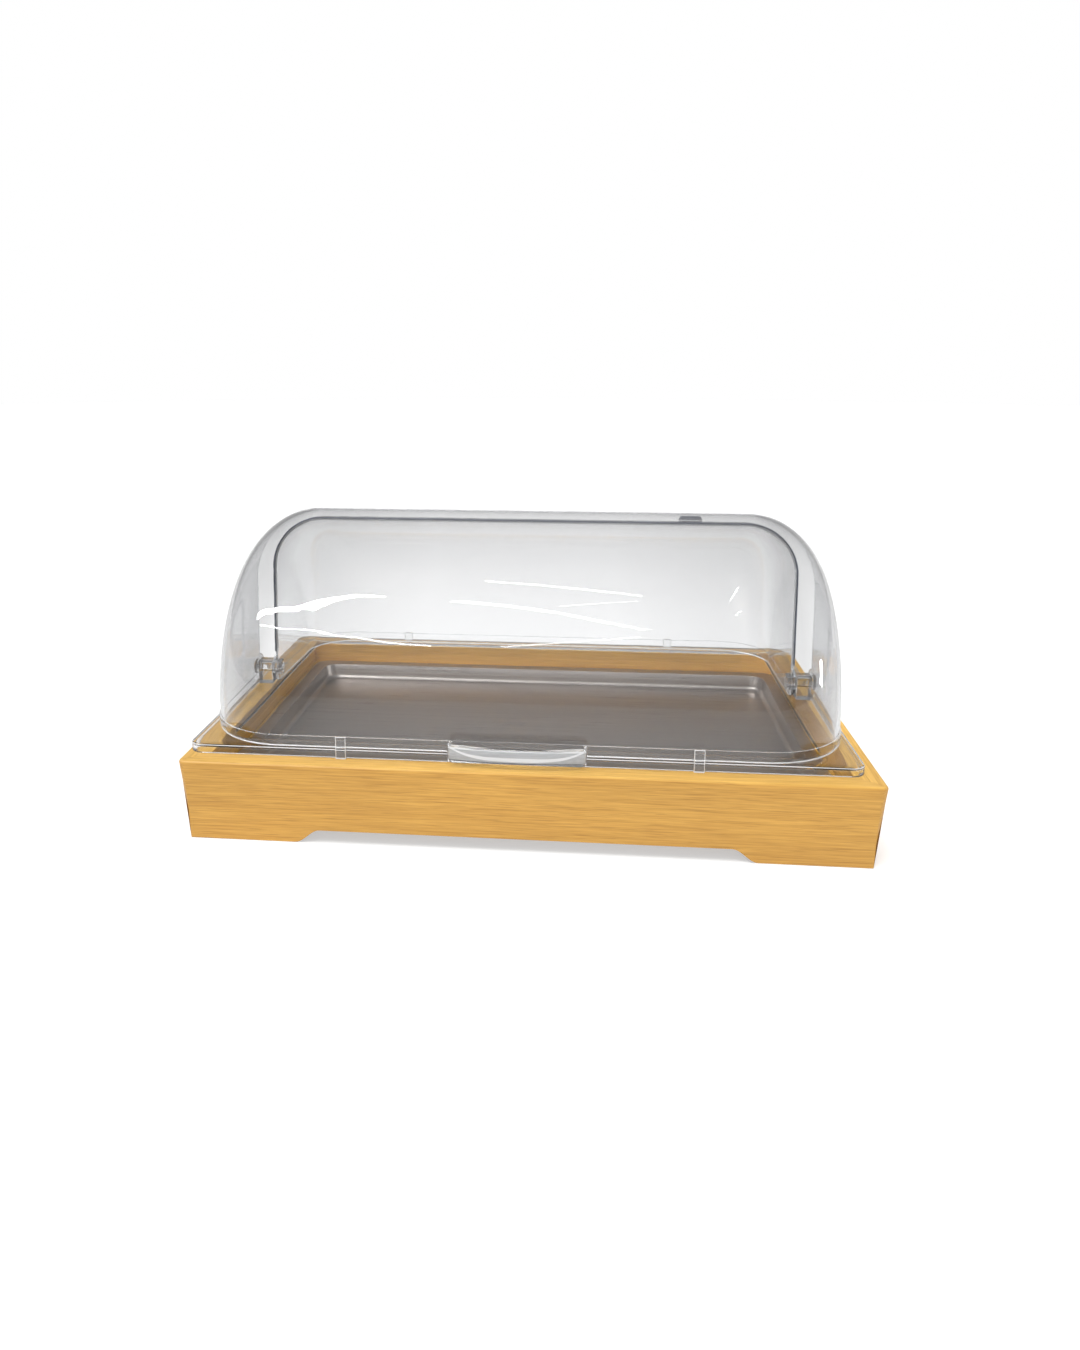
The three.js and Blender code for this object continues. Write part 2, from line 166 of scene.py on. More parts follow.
# Fineness
CORNER_STEPS = 12
ARRIS_STEPS = 4
TRAY_BEND_STEPS = 8
CROWN_STEPS = 6
FILLET_STEPS = 22
ROUND_STEPS = 48
SEAL_STEPS = 12
POCKET_STEPS = 12
RAIL_STEPS = 12
END_STEPS = 6
SIDE_LEVELS = 5
WALL_COLUMNS = 14
TOP_COLUMNS = 8
COVER_ROWS = 76
BAND_ROWS = 5
EAR_STEPS = 28
BLOCK_SEGMENTS = 3
WELD = 1e-6
SHARP_ANGLE = math.radians(20)
BEVEL_ANGLE = math.radians(38)
TRACE_STEPS = 60
TRACE_GAP = 1e-4

# Rails: node, side of the box, whether it runs along Y, and where its grain starts
RAILS = (
    ("rail_front", -1, False, (0.31, 0.02, 0.013)),
    ("rail_back", 1, False, (1.7, 0.41, 0.2)),
    ("rail_left", -1, True, (2.9, 0.77, 0.4)),
    ("rail_right", 1, True, (4.3, 1.2, 0.9)),
)
LEDGE_GRAIN_START = (0.7, 2.1, 1.3)

# Grain, noise and tints
NOISE_RANGE = (0.3, 0.7)
GRAIN_DENSITY = 680.0
GRAIN_SWAY = 0.0022
LINE_TONE_SHARE = 0.74
SMEAR_SHARE = 0.8
UPWARD_RANGE = (0.35, 0.9)
# Painted light: how much lighter the oak's upward faces are made, as if sunlit
SUNLIT_TOP = (1.24, 1.38, 1.75, 1)
PORE_TONE = (0.62, 0.55, 0.46, 1)
# Painted shade: how dark the oak's downward faces are made
UNDERSIDE_SHADE = 0.16
LEDGE_SHARE = 0.62
PLASTIC_BEND = 1.49
PASSING_LIGHT = (0.93, 0.94, 0.945, 1)

# Painted shade on the front cover: distances from the covers' middle between which it changes
FIRST_DEEPENING = (0.08, 0.19)
SECOND_DEEPENING = (0.205, 0.222)
LAST_PALING = (0.234, 0.25)
FIRST_DEEPENING_SHARE = 0.55
LAST_PALING_SHARE = 0.45

# Sockets of a colour mix
MIX_SHARE = 0
MIX_FIRST = 6
MIX_SECOND = 7
MIX_RESULT = 2

# Camera, fitted to the photograph, whose frame is 1080 pixels wide and 1350 high
CAMERA_PLACE = (0.04582, -0.92767, 0.40687)
CAMERA_YAW = math.radians(-5.32)
CAMERA_PITCH = math.radians(-11.55)
IMAGE_WIDTH = 1080
IMAGE_HEIGHT = 1350
FOCAL_PIXELS = 970.3
AXIS_PIXEL_X = 493.4
AXIS_PIXEL_Y = 556.8
SENSOR_WIDTH = 36.0
CLIP_START = 0.01

# Studio
FLOOR_RADIUS = 9.0
FLOOR_SIDES = 96
FLOOR_DROP = 0.0002
# Floor glow: even far off, and stronger round the case as painted light that fills in its shadow
GLOW_REACH = (0.3, 1.1)
GLOW_STRENGTH = (0.80, 0.52)
SUN_TOWARDS = (-0.2, -0.3, 0.93)
SUN_STRENGTH = 1.9
SUN_WIDTH = math.radians(25)
LAMP_DISTANCE = 2.2
ROOM_COLOUR = (0.34, 0.34, 0.35, 1)
FRONT_DIRECTION = (0.0, -0.85, 0.53)
FRONT_RANGE = (0.72, 0.97)
BACK_DIRECTION = (0.0, 1.0, 0.0)
BACK_RANGE = (0.55, 0.9)
BACK_HEIGHT_RANGE = (0.22, 0.06)

# Streaks on the front cover: pixels that each runs through, thickness at both ends, and power per area
STREAKS = (
    ("Left upper lamp", (
        (257, 617), (262, 613), (272, 611), (283, 609), (293, 607), (303, 604.5), (313, 602), (326, 599.5),
        (340, 597.5), (364, 595.5), (384, 597)), 0.15, 0.035, 150),
    ("Left lower lamp", (
        (260, 625), (277, 628), (303, 630), (323, 634), (359, 638), (390, 643),
        (430, 646)), 0.03, 0.016, 150),
    ("Middle upper lamp", ((486, 581), (540, 585), (590, 590), (642, 596)), 0.035, 0.02, 100),
    ("Middle lower lamp", ((453, 601), (510, 606), (560, 613), (600, 621), (646, 630)), 0.06, 0.03, 50),
    ("Faint upper lamp", ((560, 606), (640, 601)), 0.012, 0.012, 40),
    ("Faint lower lamp", ((500, 647), (640, 637)), 0.02, 0.02, 50),
    ("Right upper lamp", ((739, 600), (750, 588)), 0.004, 0.004, 150),
    ("Right lower lamp", ((747, 616), (755, 611)), 0.004, 0.004, 150),
    ("End wall lamp", ((821, 660), (821, 686)), 0.20, 0.20, 120),
)


def length_property(name, default, description):
    return bpy.props.FloatProperty(name=name, description=description, default=default, unit="LENGTH")


def colour_property(name, default, description):
    return bpy.props.FloatVectorProperty(
        name=name, description=description, default=default, size=3, subtype="COLOR", min=0, max=1)


class DisplayCaseSizes(bpy.types.PropertyGroup):
    """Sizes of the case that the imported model's corners don't give."""

    taper: length_property("Box Taper", 0.006, "How far each side of the box leans in at its foot")
    top_arris: length_property("Top Arris", 0.0025, "Radius of the box's outer top edge")
    inner_arris: length_property("Inner Arris", 0.001, "Radius of the top edge along the opening")
    box_corner: length_property("Box Corner", 0.006, "Radius of the box's upright corners")
    arch_height: length_property("Arch Height", 0.012, "Height of the arches between the feet")
    long_foot: length_property("Long Foot", 0.092, "Length of a foot along the front and back")
    short_foot: length_property("Short Foot", 0.084, "Length of a foot along the sides")
    shoulder: length_property("Shoulder", 0.022, "Length of the curve from a foot up to its arch")
    tray_rim: length_property("Tray Rim", 0.012, "Width of the tray's rim")
    tray_sheet: length_property("Tray Sheet", 0.001, "Thickness of the tray's sheet")
    frame_rim_x: length_property(
        "Frame Rim Sideways", 0.031, "Width of the clear frame's rim at the left and right")
    frame_rim_y: length_property(
        "Frame Rim Lengthways", 0.0185, "Width of the clear frame's rim at the front and back")
    frame_wall: length_property("Frame Wall", 0.003, "Thickness of the clear frame")
    cover_wall: length_property("Cover Wall", 0.003, "Thickness of both covers")
    front_radius: length_property(
        "Front Cover Radius", 0.165, "Outer radius of the front cover about the pivots")
    front_half: length_property(
        "Front Cover Half Width", 0.280, "From the front cover's middle to its end wall")
    front_corner: length_property(
        "Front Cover Corner", 0.072, "Radius between the front cover's end wall and its curve")
    rear_radius: length_property(
        "Rear Cover Radius", 0.155, "Outer radius of the rear cover about the pivots")
    rear_half: length_property(
        "Rear Cover Half Width", 0.26, "From the rear cover's middle to its end wall")
    rear_corner: length_property(
        "Rear Cover Corner", 0.051, "Radius between the rear cover's end wall and its curve")
    draft: bpy.props.FloatProperty(
        name="Draft", description="How much the end walls lean in for each length up",
        default=0.02, subtype="FACTOR")


class DisplayCaseColours(bpy.types.PropertyGroup):
    """Colours of the case's materials."""

    oak_light: colour_property("Oak Light", (0.668, 0.366, 0.067), "Colour of the pale growth in the oak")
    oak_dark: colour_property("Oak Dark", (0.450, 0.217, 0.031), "Colour of the dark growth in the oak")
    plastic: colour_property("Clear Plastic", (0.905, 0.909, 0.914), "Tint of the clear plastic")
    steel: colour_property("Tray Steel", (0.455, 0.412, 0.382), "Colour of the tray's steel")
    rubber: colour_property("Dark Rubber", (0.06, 0.068, 0.09), "Colour of the seal and the bumper's ring")
    floor: colour_property("Floor", (0.58, 0.58, 0.58), "Colour of the studio floor")


def sizes():
    return bpy.context.scene.display_case_sizes


def colours():
    return bpy.context.scene.display_case_colours


# Mesh helpers

def new_piece(name, points, faces):
    """A closed mesh with its faces pointing out and smooth where it bends gently."""
    mesh = bpy.data.meshes.new(name)
    mesh.from_pydata([tuple(point) for point in points], [], faces)
    work = bmesh.new()
    work.from_mesh(mesh)
    bmesh.ops.remove_doubles(work, verts=work.verts, dist=WELD)
    bmesh.ops.recalc_face_normals(work, faces=work.faces)
    if work.calc_volume(signed=True) < 0:
        bmesh.ops.reverse_faces(work, faces=work.faces)
    work.to_mesh(mesh)
    work.free()
    piece = bpy.data.objects.new(name, mesh)
    bpy.context.scene.collection.objects.link(piece)
    soften(piece)
    return piece


def soften(piece):
    piece.data.shade_smooth()
    piece.data.set_sharp_from_angle(angle=SHARP_ANGLE)


def settle(piece):
    """Takes the modifiers' result into the mesh."""
    bpy.context.view_layer.update()
    graph = bpy.context.evaluated_depsgraph_get()
    finished = bpy.data.meshes.new_from_object(piece.evaluated_get(graph))
    piece.modifiers.clear()
    piece.data = finished
    soften(piece)


def round_edges(piece, width, segments=2):
    bevel = piece.modifiers.new("Round edges", "BEVEL")
    bevel.width = width
    bevel.segments = segments
    bevel.limit_method = "ANGLE"
    bevel.angle_limit = BEVEL_ANGLE
    bevel.use_clamp_overlap = True
    settle(piece)


def cut_away(piece, cutter):
    """Cuts the cutter's space out of a piece and deletes the cutter."""
    cut = piece.modifiers.new("Cut", "BOOLEAN")
    cut.operation = "DIFFERENCE"
    cut.solver = "EXACT"
    cut.object = cutter
    settle(piece)
    bpy.data.objects.remove(cutter)


def finish(piece, node, material):
    """Gives a piece its material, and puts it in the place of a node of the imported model."""
    piece.data.materials.clear()
    piece.data.materials.append(material)
    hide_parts(node)
    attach(piece, BODY_OF[node])


def quarter_turns(steps, first=0):
    """Angles of the points along a quarter of a circle."""
    return [step / steps * math.pi / 2 for step in range(first, steps + 1)]


def full_turns(count):
    """Angles of the points round a whole circle."""
    return [2 * math.pi * i / count for i in range(count)]


def spread(first, last, count):
    """Even places from the first up to the last, which is left out."""
    return [first + (last - first) * i / count for i in range(count)]


def loft(rings, joined=False):
    """Joins rings of equal counts. The ends are capped, or joined when the loft closes on itself."""
    count = len(rings[0])
    points = [point for ring in rings for point in ring]
    faces = []
    for ring in range(len(rings) if joined else len(rings) - 1):
        here = ring * count
        there = ((ring + 1) % len(rings)) * count
        for i in range(count):
            j = (i + 1) % count
            faces.append((here + i, here + j, there + j, there + i))
    if not joined:
        top = (len(rings) - 1) * count
        faces.append(tuple(reversed(range(count))))
        faces.append(tuple(range(top, top + count)))
    return points, faces


def rounded_ring(half_x, half_y, radius, z, middle=(0.0, 0.0)):
    """Level outline of a rectangle with round corners."""
    ring = []
    for quarter, (side_x, side_y) in enumerate(((1, 1), (-1, 1), (-1, -1), (1, -1))):
        for step in range(CORNER_STEPS + 1):
            angle = (quarter + step / CORNER_STEPS) * math.pi / 2
            ring.append(Vector((
                middle[0] + side_x * (half_x - radius) + radius * math.cos(angle),
                middle[1] + side_y * (half_y - radius) + radius * math.sin(angle),
                z,
            )))
    return ring


def block(name, low, high):
    corners = [(low[0], low[1]), (high[0], low[1]), (high[0], high[1]), (low[0], high[1])]
    rings = [[Vector((x, y, z)) for x, y in corners] for z in (low[2], high[2])]
    return new_piece(name, *loft(rings))


def turned(name, outline, joined=False):
    """A solid turned about the pivot line. The outline gives distances along it and radii."""
    rings = []
    for x, radius in outline:
        rings.append([
            PIVOT + Vector((x, radius * math.cos(turn), radius * math.sin(turn)))
            for turn in full_turns(ROUND_STEPS)
        ])
    return new_piece(name, *loft(rings, joined=joined))


def soft_end(x, inward, radius, soft):
    """Outline of a turned piece's rounded end, from its face out to its side."""
    return [
        (x, radius - 2 * soft),
        (x + inward * soft * SOFT_ALONG_SHARE, radius - soft * SOFT_ACROSS_SHARE),
        (x + inward * soft, radius),
    ]


# Material helpers

def feed(tree, socket, value):
    """Gives an input a value, or links a socket to it."""
    if isinstance(value, bpy.types.NodeSocket):
        tree.links.new(value, socket)
    else:
        socket.default_value = value


def put(tree, kind, inputs=None, **settings):
    """Adds a node. An input is a value, or a socket that is linked to it."""
    node = tree.nodes.new(kind)
    for name, value in settings.items():
        setattr(node, name, value)
    for name, value in (inputs or {}).items():
        feed(tree, node.inputs[name], value)
    return node


def show(tree, shader):
    """Makes a shader the surface of its material."""
    put(tree, "ShaderNodeOutputMaterial", {"Surface": shader.outputs[0]})


def shade(colour, share=1.0):
    """A colour made darker or lighter by a share, with its alpha."""
    return [min(1.0, channel * share) for channel in colour[:3]] + [1]


def grey(level):
    return (level, level, level, 1)


def new_material(name):
    material = bpy.data.materials.new(name)
    material.use_nodes = True
    material.node_tree.nodes.clear()
    return material, material.node_tree


def shared_material(name, builder, **settings):
    """A material that is built the first time that it is asked for."""
    return bpy.data.materials.get(name) or builder(name, **settings)


def new_group(name, inputs, outputs):
    """An empty shader node group. Inputs are (name, socket kind, default) and outputs (name, kind)."""
    group = bpy.data.node_groups.new(name, "ShaderNodeTree")
    for label, kind, default in inputs:
        socket = group.interface.new_socket(name=label, in_out="INPUT", socket_type=kind)
        if default is not None:
            socket.default_value = default
    for label, kind in outputs:
        group.interface.new_socket(name=label, in_out="OUTPUT", socket_type=kind)
    start = group.nodes.new("NodeGroupInput")
    end = group.nodes.new("NodeGroupOutput")
    return group, start.outputs, end.inputs


def use_group(tree, name, builder, inputs):
    """Outputs of a shared node group, which is built the first time that it is asked for."""
    group = bpy.data.node_groups.get(name) or builder()
    return put(tree, "ShaderNodeGroup", inputs, node_tree=group).outputs


def blended(tree, share, first, second, mode="MIX"):
    """The colour of a mix of two colours."""
    mix = put(tree, "ShaderNodeMix", data_type="RGBA", blend_type=mode)
    for index, value in ((MIX_SHARE, share), (MIX_FIRST, first), (MIX_SECOND, second)):
        feed(tree, mix.inputs[index], value)
    return mix.outputs[MIX_RESULT]


def object_place(tree):
    return put(tree, "ShaderNodeTexCoord").outputs["Object"]


def parts_of(tree, vector):
    return put(tree, "ShaderNodeSeparateXYZ", {0: vector}).outputs


def stretched(tree, vector, stretch):
    return put(tree, "ShaderNodeVectorMath", {0: vector, 1: stretch}, operation="MULTIPLY").outputs[0]


def moved(tree, vector, offset):
    return put(tree, "ShaderNodeVectorMath", {0: vector, 1: offset}).outputs[0]


def noise(tree, vector, scale, detail=3.0, roughness=0.55, distortion=0.0):
    return put(tree, "ShaderNodeTexNoise", {
        "Vector": vector, "Scale": scale, "Detail": detail,
        "Roughness": roughness, "Distortion": distortion,
    }).outputs["Fac"]


def remapped(tree, value, low, high, to_low=0.0, to_high=1.0):
    return put(tree, "ShaderNodeMapRange", {
        "Value": value, "From Min": low, "From Max": high, "To Min": to_low, "To Max": to_high,
    }).outputs["Result"]


def combined(tree, first, second, operation="MULTIPLY"):
    return put(tree, "ShaderNodeMath", {0: first, 1: second}, operation=operation).outputs[0]


def weighed(tree, first, second, share):
    """A share of the first value, and the rest of the second."""
    return combined(tree, combined(tree, first, share), combined(tree, second, 1 - share), "ADD")


def bumped(tree, height, strength, distance):
    return put(tree, "ShaderNodeBump", {
        "Height": height, "Strength": strength, "Distance": distance}).outputs[0]


def wood_grain_group():
    """Grain of a sawn board that runs along the vector's X."""
    group, given, result = new_group(
        "Wood grain",
        [
            ("Vector", "NodeSocketVector", None),
            ("Light Colour", "NodeSocketColor", (0.8, 0.5, 0.2, 1)),
            ("Dark Colour", "NodeSocketColor", (0.5, 0.3, 0.1, 1)),
            ("Line Density", "NodeSocketFloat", GRAIN_DENSITY),
            ("Pore Depth", "NodeSocketFloat", 0.4),
        ],
        [("Colour", "NodeSocketColor"), ("Height", "NodeSocketFloat"), ("Roughness", "NodeSocketFloat")],
    )
    bend = noise(group, stretched(group, given["Vector"], (1.6, 7.0, 7.0)), 1.0, 1.5)
    sway = put(group, "ShaderNodeCombineXYZ", {
        "Y": remapped(group, bend, *NOISE_RANGE, -GRAIN_SWAY, GRAIN_SWAY),
        "Z": remapped(group, bend, *NOISE_RANGE, GRAIN_SWAY, -GRAIN_SWAY),
    }).outputs[0]
    swayed = moved(group, given["Vector"], sway)
    lines = noise(group, stretched(group, swayed, (0.022, 1.0, 1.0)), given["Line Density"], 6.0, 0.68)
    broad = noise(group, stretched(group, swayed, (0.8, 60.0, 60.0)), 1.0, 2.5)
    patch = noise(group, stretched(group, swayed, (3.0, 12.0, 12.0)), 1.0, 2.0)
    pores = noise(group, stretched(group, swayed, (32.0, 1500.0, 1500.0)), 1.0, 1.5, 0.5)
    pore_mask = remapped(group, pores, 0.56, 0.66)
    line_share = remapped(group, lines, 0.34, 0.66)
    broad_share = remapped(group, broad, *NOISE_RANGE)
    mixed = weighed(group, line_share, broad_share, LINE_TONE_SHARE)
    tone = blended(group, mixed, given["Dark Colour"], given["Light Colour"])
    patch_tone = remapped(group, patch, *NOISE_RANGE, 0.93, 1.06)
    patch_colour = put(group, "ShaderNodeCombineXYZ", {axis: patch_tone for axis in "XYZ"}).outputs[0]
    shaded = blended(group, 1.0, tone, patch_colour, "MULTIPLY")
    pore_share = combined(group, pore_mask, given["Pore Depth"])
    darker = blended(group, 1.0, given["Dark Colour"], PORE_TONE, "MULTIPLY")
    height = combined(group, combined(group, line_share, 0.35), pore_share, "SUBTRACT")
    rough = remapped(group, mixed, 0.2, 0.8, 0.56, 0.44)
    feed(group, result["Colour"], blended(group, pore_share, shaded, darker))
    feed(group, result["Height"], height)
    feed(group, result["Roughness"], combined(group, rough, combined(group, pore_mask, 0.08), "ADD"))
    return group


def fine_haze_group():
    """Faint smears and ripples of a surface that has been handled and wiped."""
    group, given, result = new_group(
        "Fine haze",
        [
            ("Vector", "NodeSocketVector", None),
            ("Smear Scale", "NodeSocketFloat", 9.0),
            ("Speck Scale", "NodeSocketFloat", 900.0),
            ("Roughness", "NodeSocketFloat", 0.03),
            ("Spread", "NodeSocketFloat", 0.02),
        ],
        [("Roughness", "NodeSocketFloat"), ("Ripple", "NodeSocketFloat"), ("Mask", "NodeSocketFloat")],
    )
    smear = noise(group, given["Vector"], given["Smear Scale"], 4.0, 0.6, 0.8)
    speck = noise(group, given["Vector"], given["Speck Scale"], 1.0)
    mask = weighed(group, smear, speck, SMEAR_SHARE)
    rough = combined(group, combined(group, mask, given["Spread"]), given["Roughness"], "ADD")
    feed(group, result["Roughness"], rough)
    feed(group, result["Ripple"], smear)
    feed(group, result["Mask"], mask)
    return group


def fine_haze(tree, place, roughness, spread, smear_scale):
    return use_group(tree, "Fine haze", fine_haze_group, {
        "Vector": place, "Roughness": roughness, "Spread": spread, "Smear Scale": smear_scale})


def grain_vector(tree, along_y, offset):
    """Coordinates with the grain along X. A side rail is turned to its own length."""
    parts = parts_of(tree, object_place(tree))
    order = "YXZ" if along_y else "XYZ"
    turned_place = put(tree, "ShaderNodeCombineXYZ", {
        axis: parts[source] for axis, source in zip("XYZ", order)}).outputs[0]
    return moved(tree, turned_place, offset)


def oak_material(name, along_y=False, offset=(0, 0, 0), brightness=1.0, lacquer=0.35):
    """Oak with its grain along the rail. The lacquer's weight is 0 for bare wood."""
    material, tree = new_material(name)
    grain = use_group(tree, "Wood grain", wood_grain_group, {
        "Vector": grain_vector(tree, along_y, offset),
        "Light Colour": shade(colours().oak_light, brightness),
        "Dark Colour": shade(colours().oak_dark, brightness),
    })
    # Upward faces are made lighter with painted light
    upward = parts_of(tree, put(tree, "ShaderNodeNewGeometry").outputs["Normal"])["Z"]
    pale = blended(tree, 1.0, grain["Colour"], SUNLIT_TOP, "MULTIPLY")
    shader = put(tree, "ShaderNodeBsdfPrincipled", {
        "Base Color": blended(tree, remapped(tree, upward, *UPWARD_RANGE), grain["Colour"], pale),
        "Roughness": grain["Roughness"], "Normal": bumped(tree, grain["Height"], 0.22, 0.0004),
        "Coat Weight": lacquer, "Coat Roughness": 0.28, "Specular IOR Level": 0.35,
    })
    show(tree, shader)
    return material


def end_painted_shade(tree, place):
    """How deep the painted shade is: it rises in two steps towards the end walls, and falls at the very
    ends.
    """
    across = combined(tree, parts_of(tree, place)["X"], COVER_MIDDLE_X, "SUBTRACT")
    from_middle = combined(tree, across, 0.0, "ABSOLUTE")
    first = remapped(tree, from_middle, *FIRST_DEEPENING, 0.0, FIRST_DEEPENING_SHARE)
    second = remapped(tree, from_middle, *SECOND_DEEPENING, 0.0, 1 - FIRST_DEEPENING_SHARE)
    paling = remapped(tree, from_middle, *LAST_PALING, 1.0, LAST_PALING_SHARE)
    return combined(tree, combined(tree, first, second, "ADD"), paling)


def plastic_material(name, tint_share=1.0, rim_depth=0.91, end_depth=1.0, bend=PLASTIC_BEND, thin=False):
    """Clear moulded plastic. Lamps shine through it without being bent, so what it covers stays lit."""
    material, tree = new_material(name)
    place = object_place(tree)
    haze = fine_haze(tree, place, roughness=0.012, spread=0.02, smear_scale=7.0)
    clear = [1 - (1 - channel) * tint_share for channel in colours().plastic]
    rim = put(tree, "ShaderNodeLayerWeight", {"Blend": 0.5}).outputs["Facing"]
    tint = blended(tree, haze["Mask"], shade(clear), shade(clear, 0.975))
    tint = blended(tree, combined(tree, rim, 2.5, "POWER"), tint, shade(clear, rim_depth))
    # Painted shade darkens the sheet towards the end walls, where the end depth is below 1
    tint = blended(tree, end_painted_shade(tree, place), tint, grey(end_depth), "MULTIPLY")
    shader = put(tree, "ShaderNodeBsdfPrincipled", {
        "Base Color": tint, "Roughness": haze["Roughness"],
        "Normal": bumped(tree, haze["Ripple"], 0.12, 0.0012),
        "Transmission Weight": 1.0, "IOR": bend,
    })
    passing = put(tree, "ShaderNodeBsdfTransparent", {"Color": PASSING_LIGHT})
    path = put(tree, "ShaderNodeLightPath").outputs
    unbent = path["Is Shadow Ray"]
    if thin:
        unbent = combined(tree, unbent, path["Is Diffuse Ray"], "MAXIMUM")
    show(tree, put(tree, "ShaderNodeMixShader", {0: unbent, 1: shader.outputs[0], 2: passing.outputs[0]}))
    return material


def clear_plastic():
    return shared_material("Clear plastic", plastic_material)


def front_cover_plastic():
    """The front cover's sheet, darkened with painted shade towards its end walls."""
    return shared_material("Clear front cover with painted shade", plastic_material, end_depth=0.755)


def fitting_plastic():
    """The frame and the small fittings, which are clearer than the covers."""
    return shared_material(
        "Clear fittings", plastic_material, tint_share=0.25, rim_depth=0.97, bend=1.38, thin=True)


def strip_plastic():
    """The locating strips, which are hardly seen through the frame."""
    return shared_material(
        "Clear strips", plastic_material, tint_share=0.2, rim_depth=0.98, bend=1.0, thin=True)


def smoked_plastic():
    """Grey see-through plastic that looks dark where it is thick."""
    return shared_material("Smoked plastic", plastic_material, tint_share=2.2, rim_depth=0.2)


def steel_material():
    """Satin steel sheet, brushed along its length."""
    material, tree = new_material("Brushed tray steel")
    place = object_place(tree)
    steel = colours().steel
    brush = noise(tree, stretched(tree, place, (5.0, 900.0, 900.0)), 1.0, 3.0, 0.6)
    haze = fine_haze(tree, place, roughness=0.24, spread=0.16, smear_scale=14.0)
    scratches = remapped(tree, brush, *NOISE_RANGE, -0.05, 0.07)
    shader = put(tree, "ShaderNodeBsdfPrincipled", {
        "Base Color": blended(tree, remapped(tree, brush, 0.35, 0.65), shade(steel, 0.8), shade(steel)),
        "Metallic": 1.0, "Roughness": combined(tree, haze["Roughness"], scratches, "ADD"),
        "Normal": bumped(tree, brush, 0.12, 0.0002),
    })
    show(tree, shader)
    return material


def rubber_material():
    """Matt dark rubber with a fine skin."""
    material, tree = new_material("Dark rubber")
    rubber = colours().rubber
    haze = fine_haze(tree, object_place(tree), roughness=0.22, spread=0.2, smear_scale=60.0)
    shader = put(tree, "ShaderNodeBsdfPrincipled", {
        "Base Color": blended(tree, haze["Mask"], shade(rubber), shade(rubber, 1.7)),
        "Roughness": haze["Roughness"], "Normal": bumped(tree, haze["Mask"], 0.2, 0.0002),
    })
    show(tree, shader)
    return material


def painted_highlight_material(name):
    """Painted highlight for a narrow plastic edge: a pale line in the place of the light that the edge
    catches.
    """
    material, tree = new_material(name)
    speckle = noise(tree, object_place(tree), 60.0)
    tone = blended(tree, speckle, (0.80, 0.81, 0.83, 1), (0.96, 0.97, 0.98, 1))
    show(tree, put(tree, "ShaderNodeBsdfPrincipled", {
        "Base Color": tone, "Roughness": 0.22, "Transmission Weight": 0.35, "IOR": PLASTIC_BEND}))
    return material


def painted_edge_highlight():
    return shared_material("Painted bright edge", painted_highlight_material)


def painted_hollow_material(low, high):
    """Back wall of the grip's hollow, in painted light: streaked grey as a painted reflection, a painted
    highlight in a bright bow along it, painted shade along its foot and a painted highlight along its top.
    """
    material, tree = new_material("Grip hollow with painted light")
    place = object_place(tree)
    parts = parts_of(tree, place)
    along = remapped(tree, parts["X"], low.x, high.x, -1.0, 1.0)
    up = remapped(tree, parts["Z"], low.z, high.z)
    square = combined(tree, along, along)
    centre = remapped(tree, combined(tree, square, square), 0.0, 1.0, 0.26, 0.95)
    reach = remapped(tree, square, 0.0, 1.0, 0.13, 0.04)
    away = combined(tree, combined(tree, up, centre, "SUBTRACT"), 0.0, "ABSOLUTE")
    bow = remapped(tree, combined(tree, away, reach, "DIVIDE"), 1.15, 0.7)
    # Painted reflection: grey streaks that stand in for what the clear wall shows
    streak = noise(tree, stretched(tree, place, (30.0, 900.0, 900.0)), 1.0)
    wall = blended(tree, streak, (0.30, 0.31, 0.32, 1), (0.66, 0.67, 0.69, 1))
    # Painted highlight: a bright bow across the wall
    tone = blended(tree, bow, wall, (0.93, 0.94, 0.96, 1))
    # Painted shade along the foot of the wall
    tone = blended(tree, remapped(tree, up, 0.11, 0.05), tone, (0.07, 0.075, 0.08, 1))
    # Painted highlight along the top of the wall
    tone = blended(tree, remapped(tree, up, 0.74, 0.78), tone, (0.95, 0.95, 0.96, 1))
    show(tree, put(tree, "ShaderNodeBsdfPrincipled", {
        "Base Color": tone, "Roughness": 0.3, "Transmission Weight": 0.3, "IOR": PLASTIC_BEND}))
    return material


def second_look(piece, material, chosen):
    """Gives the chosen faces of a piece another material."""
    slot = len(piece.data.materials)
    piece.data.materials.append(material)
    for face in piece.data.polygons:
        if chosen(face):
            face.material_index = slot


def paint_edge_highlights(piece, width):
    """Gives the narrow faces along a clear piece's edges a painted highlight, so they show as pale lines."""
    corners = piece.data.vertices

    def narrow(face):
        places = [corners[i].co for i in face.vertices]
        return min((place - places[i - 1]).length for i, place in enumerate(places)) < width

    second_look(piece, painted_edge_highlight(), narrow)


# Shapes

def rail_stations(half_length, foot):
    """Places along a rail, from its middle to its end, with more of them where its edge bends."""
    s = sizes()
    foot_end = half_length - s.taper - foot
    arch_end = foot_end - s.shoulder
    straight_end = half_length - s.box_corner
    end = straight_end + s.box_corner * math.pi / 4
    places = spread(0, arch_end, RAIL_STEPS) + spread(arch_end, foot_end, RAIL_STEPS)
    places += spread(foot_end, straight_end, END_STEPS) + spread(straight_end, end, END_STEPS)
    return places + [end]


def arch_rise(along, half_length, foot):
    """Height of a rail's lower edge at a distance from its middle."""
    s = sizes()
    foot_end = half_length - s.taper - foot
    share = min(1.0, max(0.0, (foot_end - abs(along)) / s.shoulder))
    return s.arch_height * (1 - math.cos(share * math.pi)) / 2


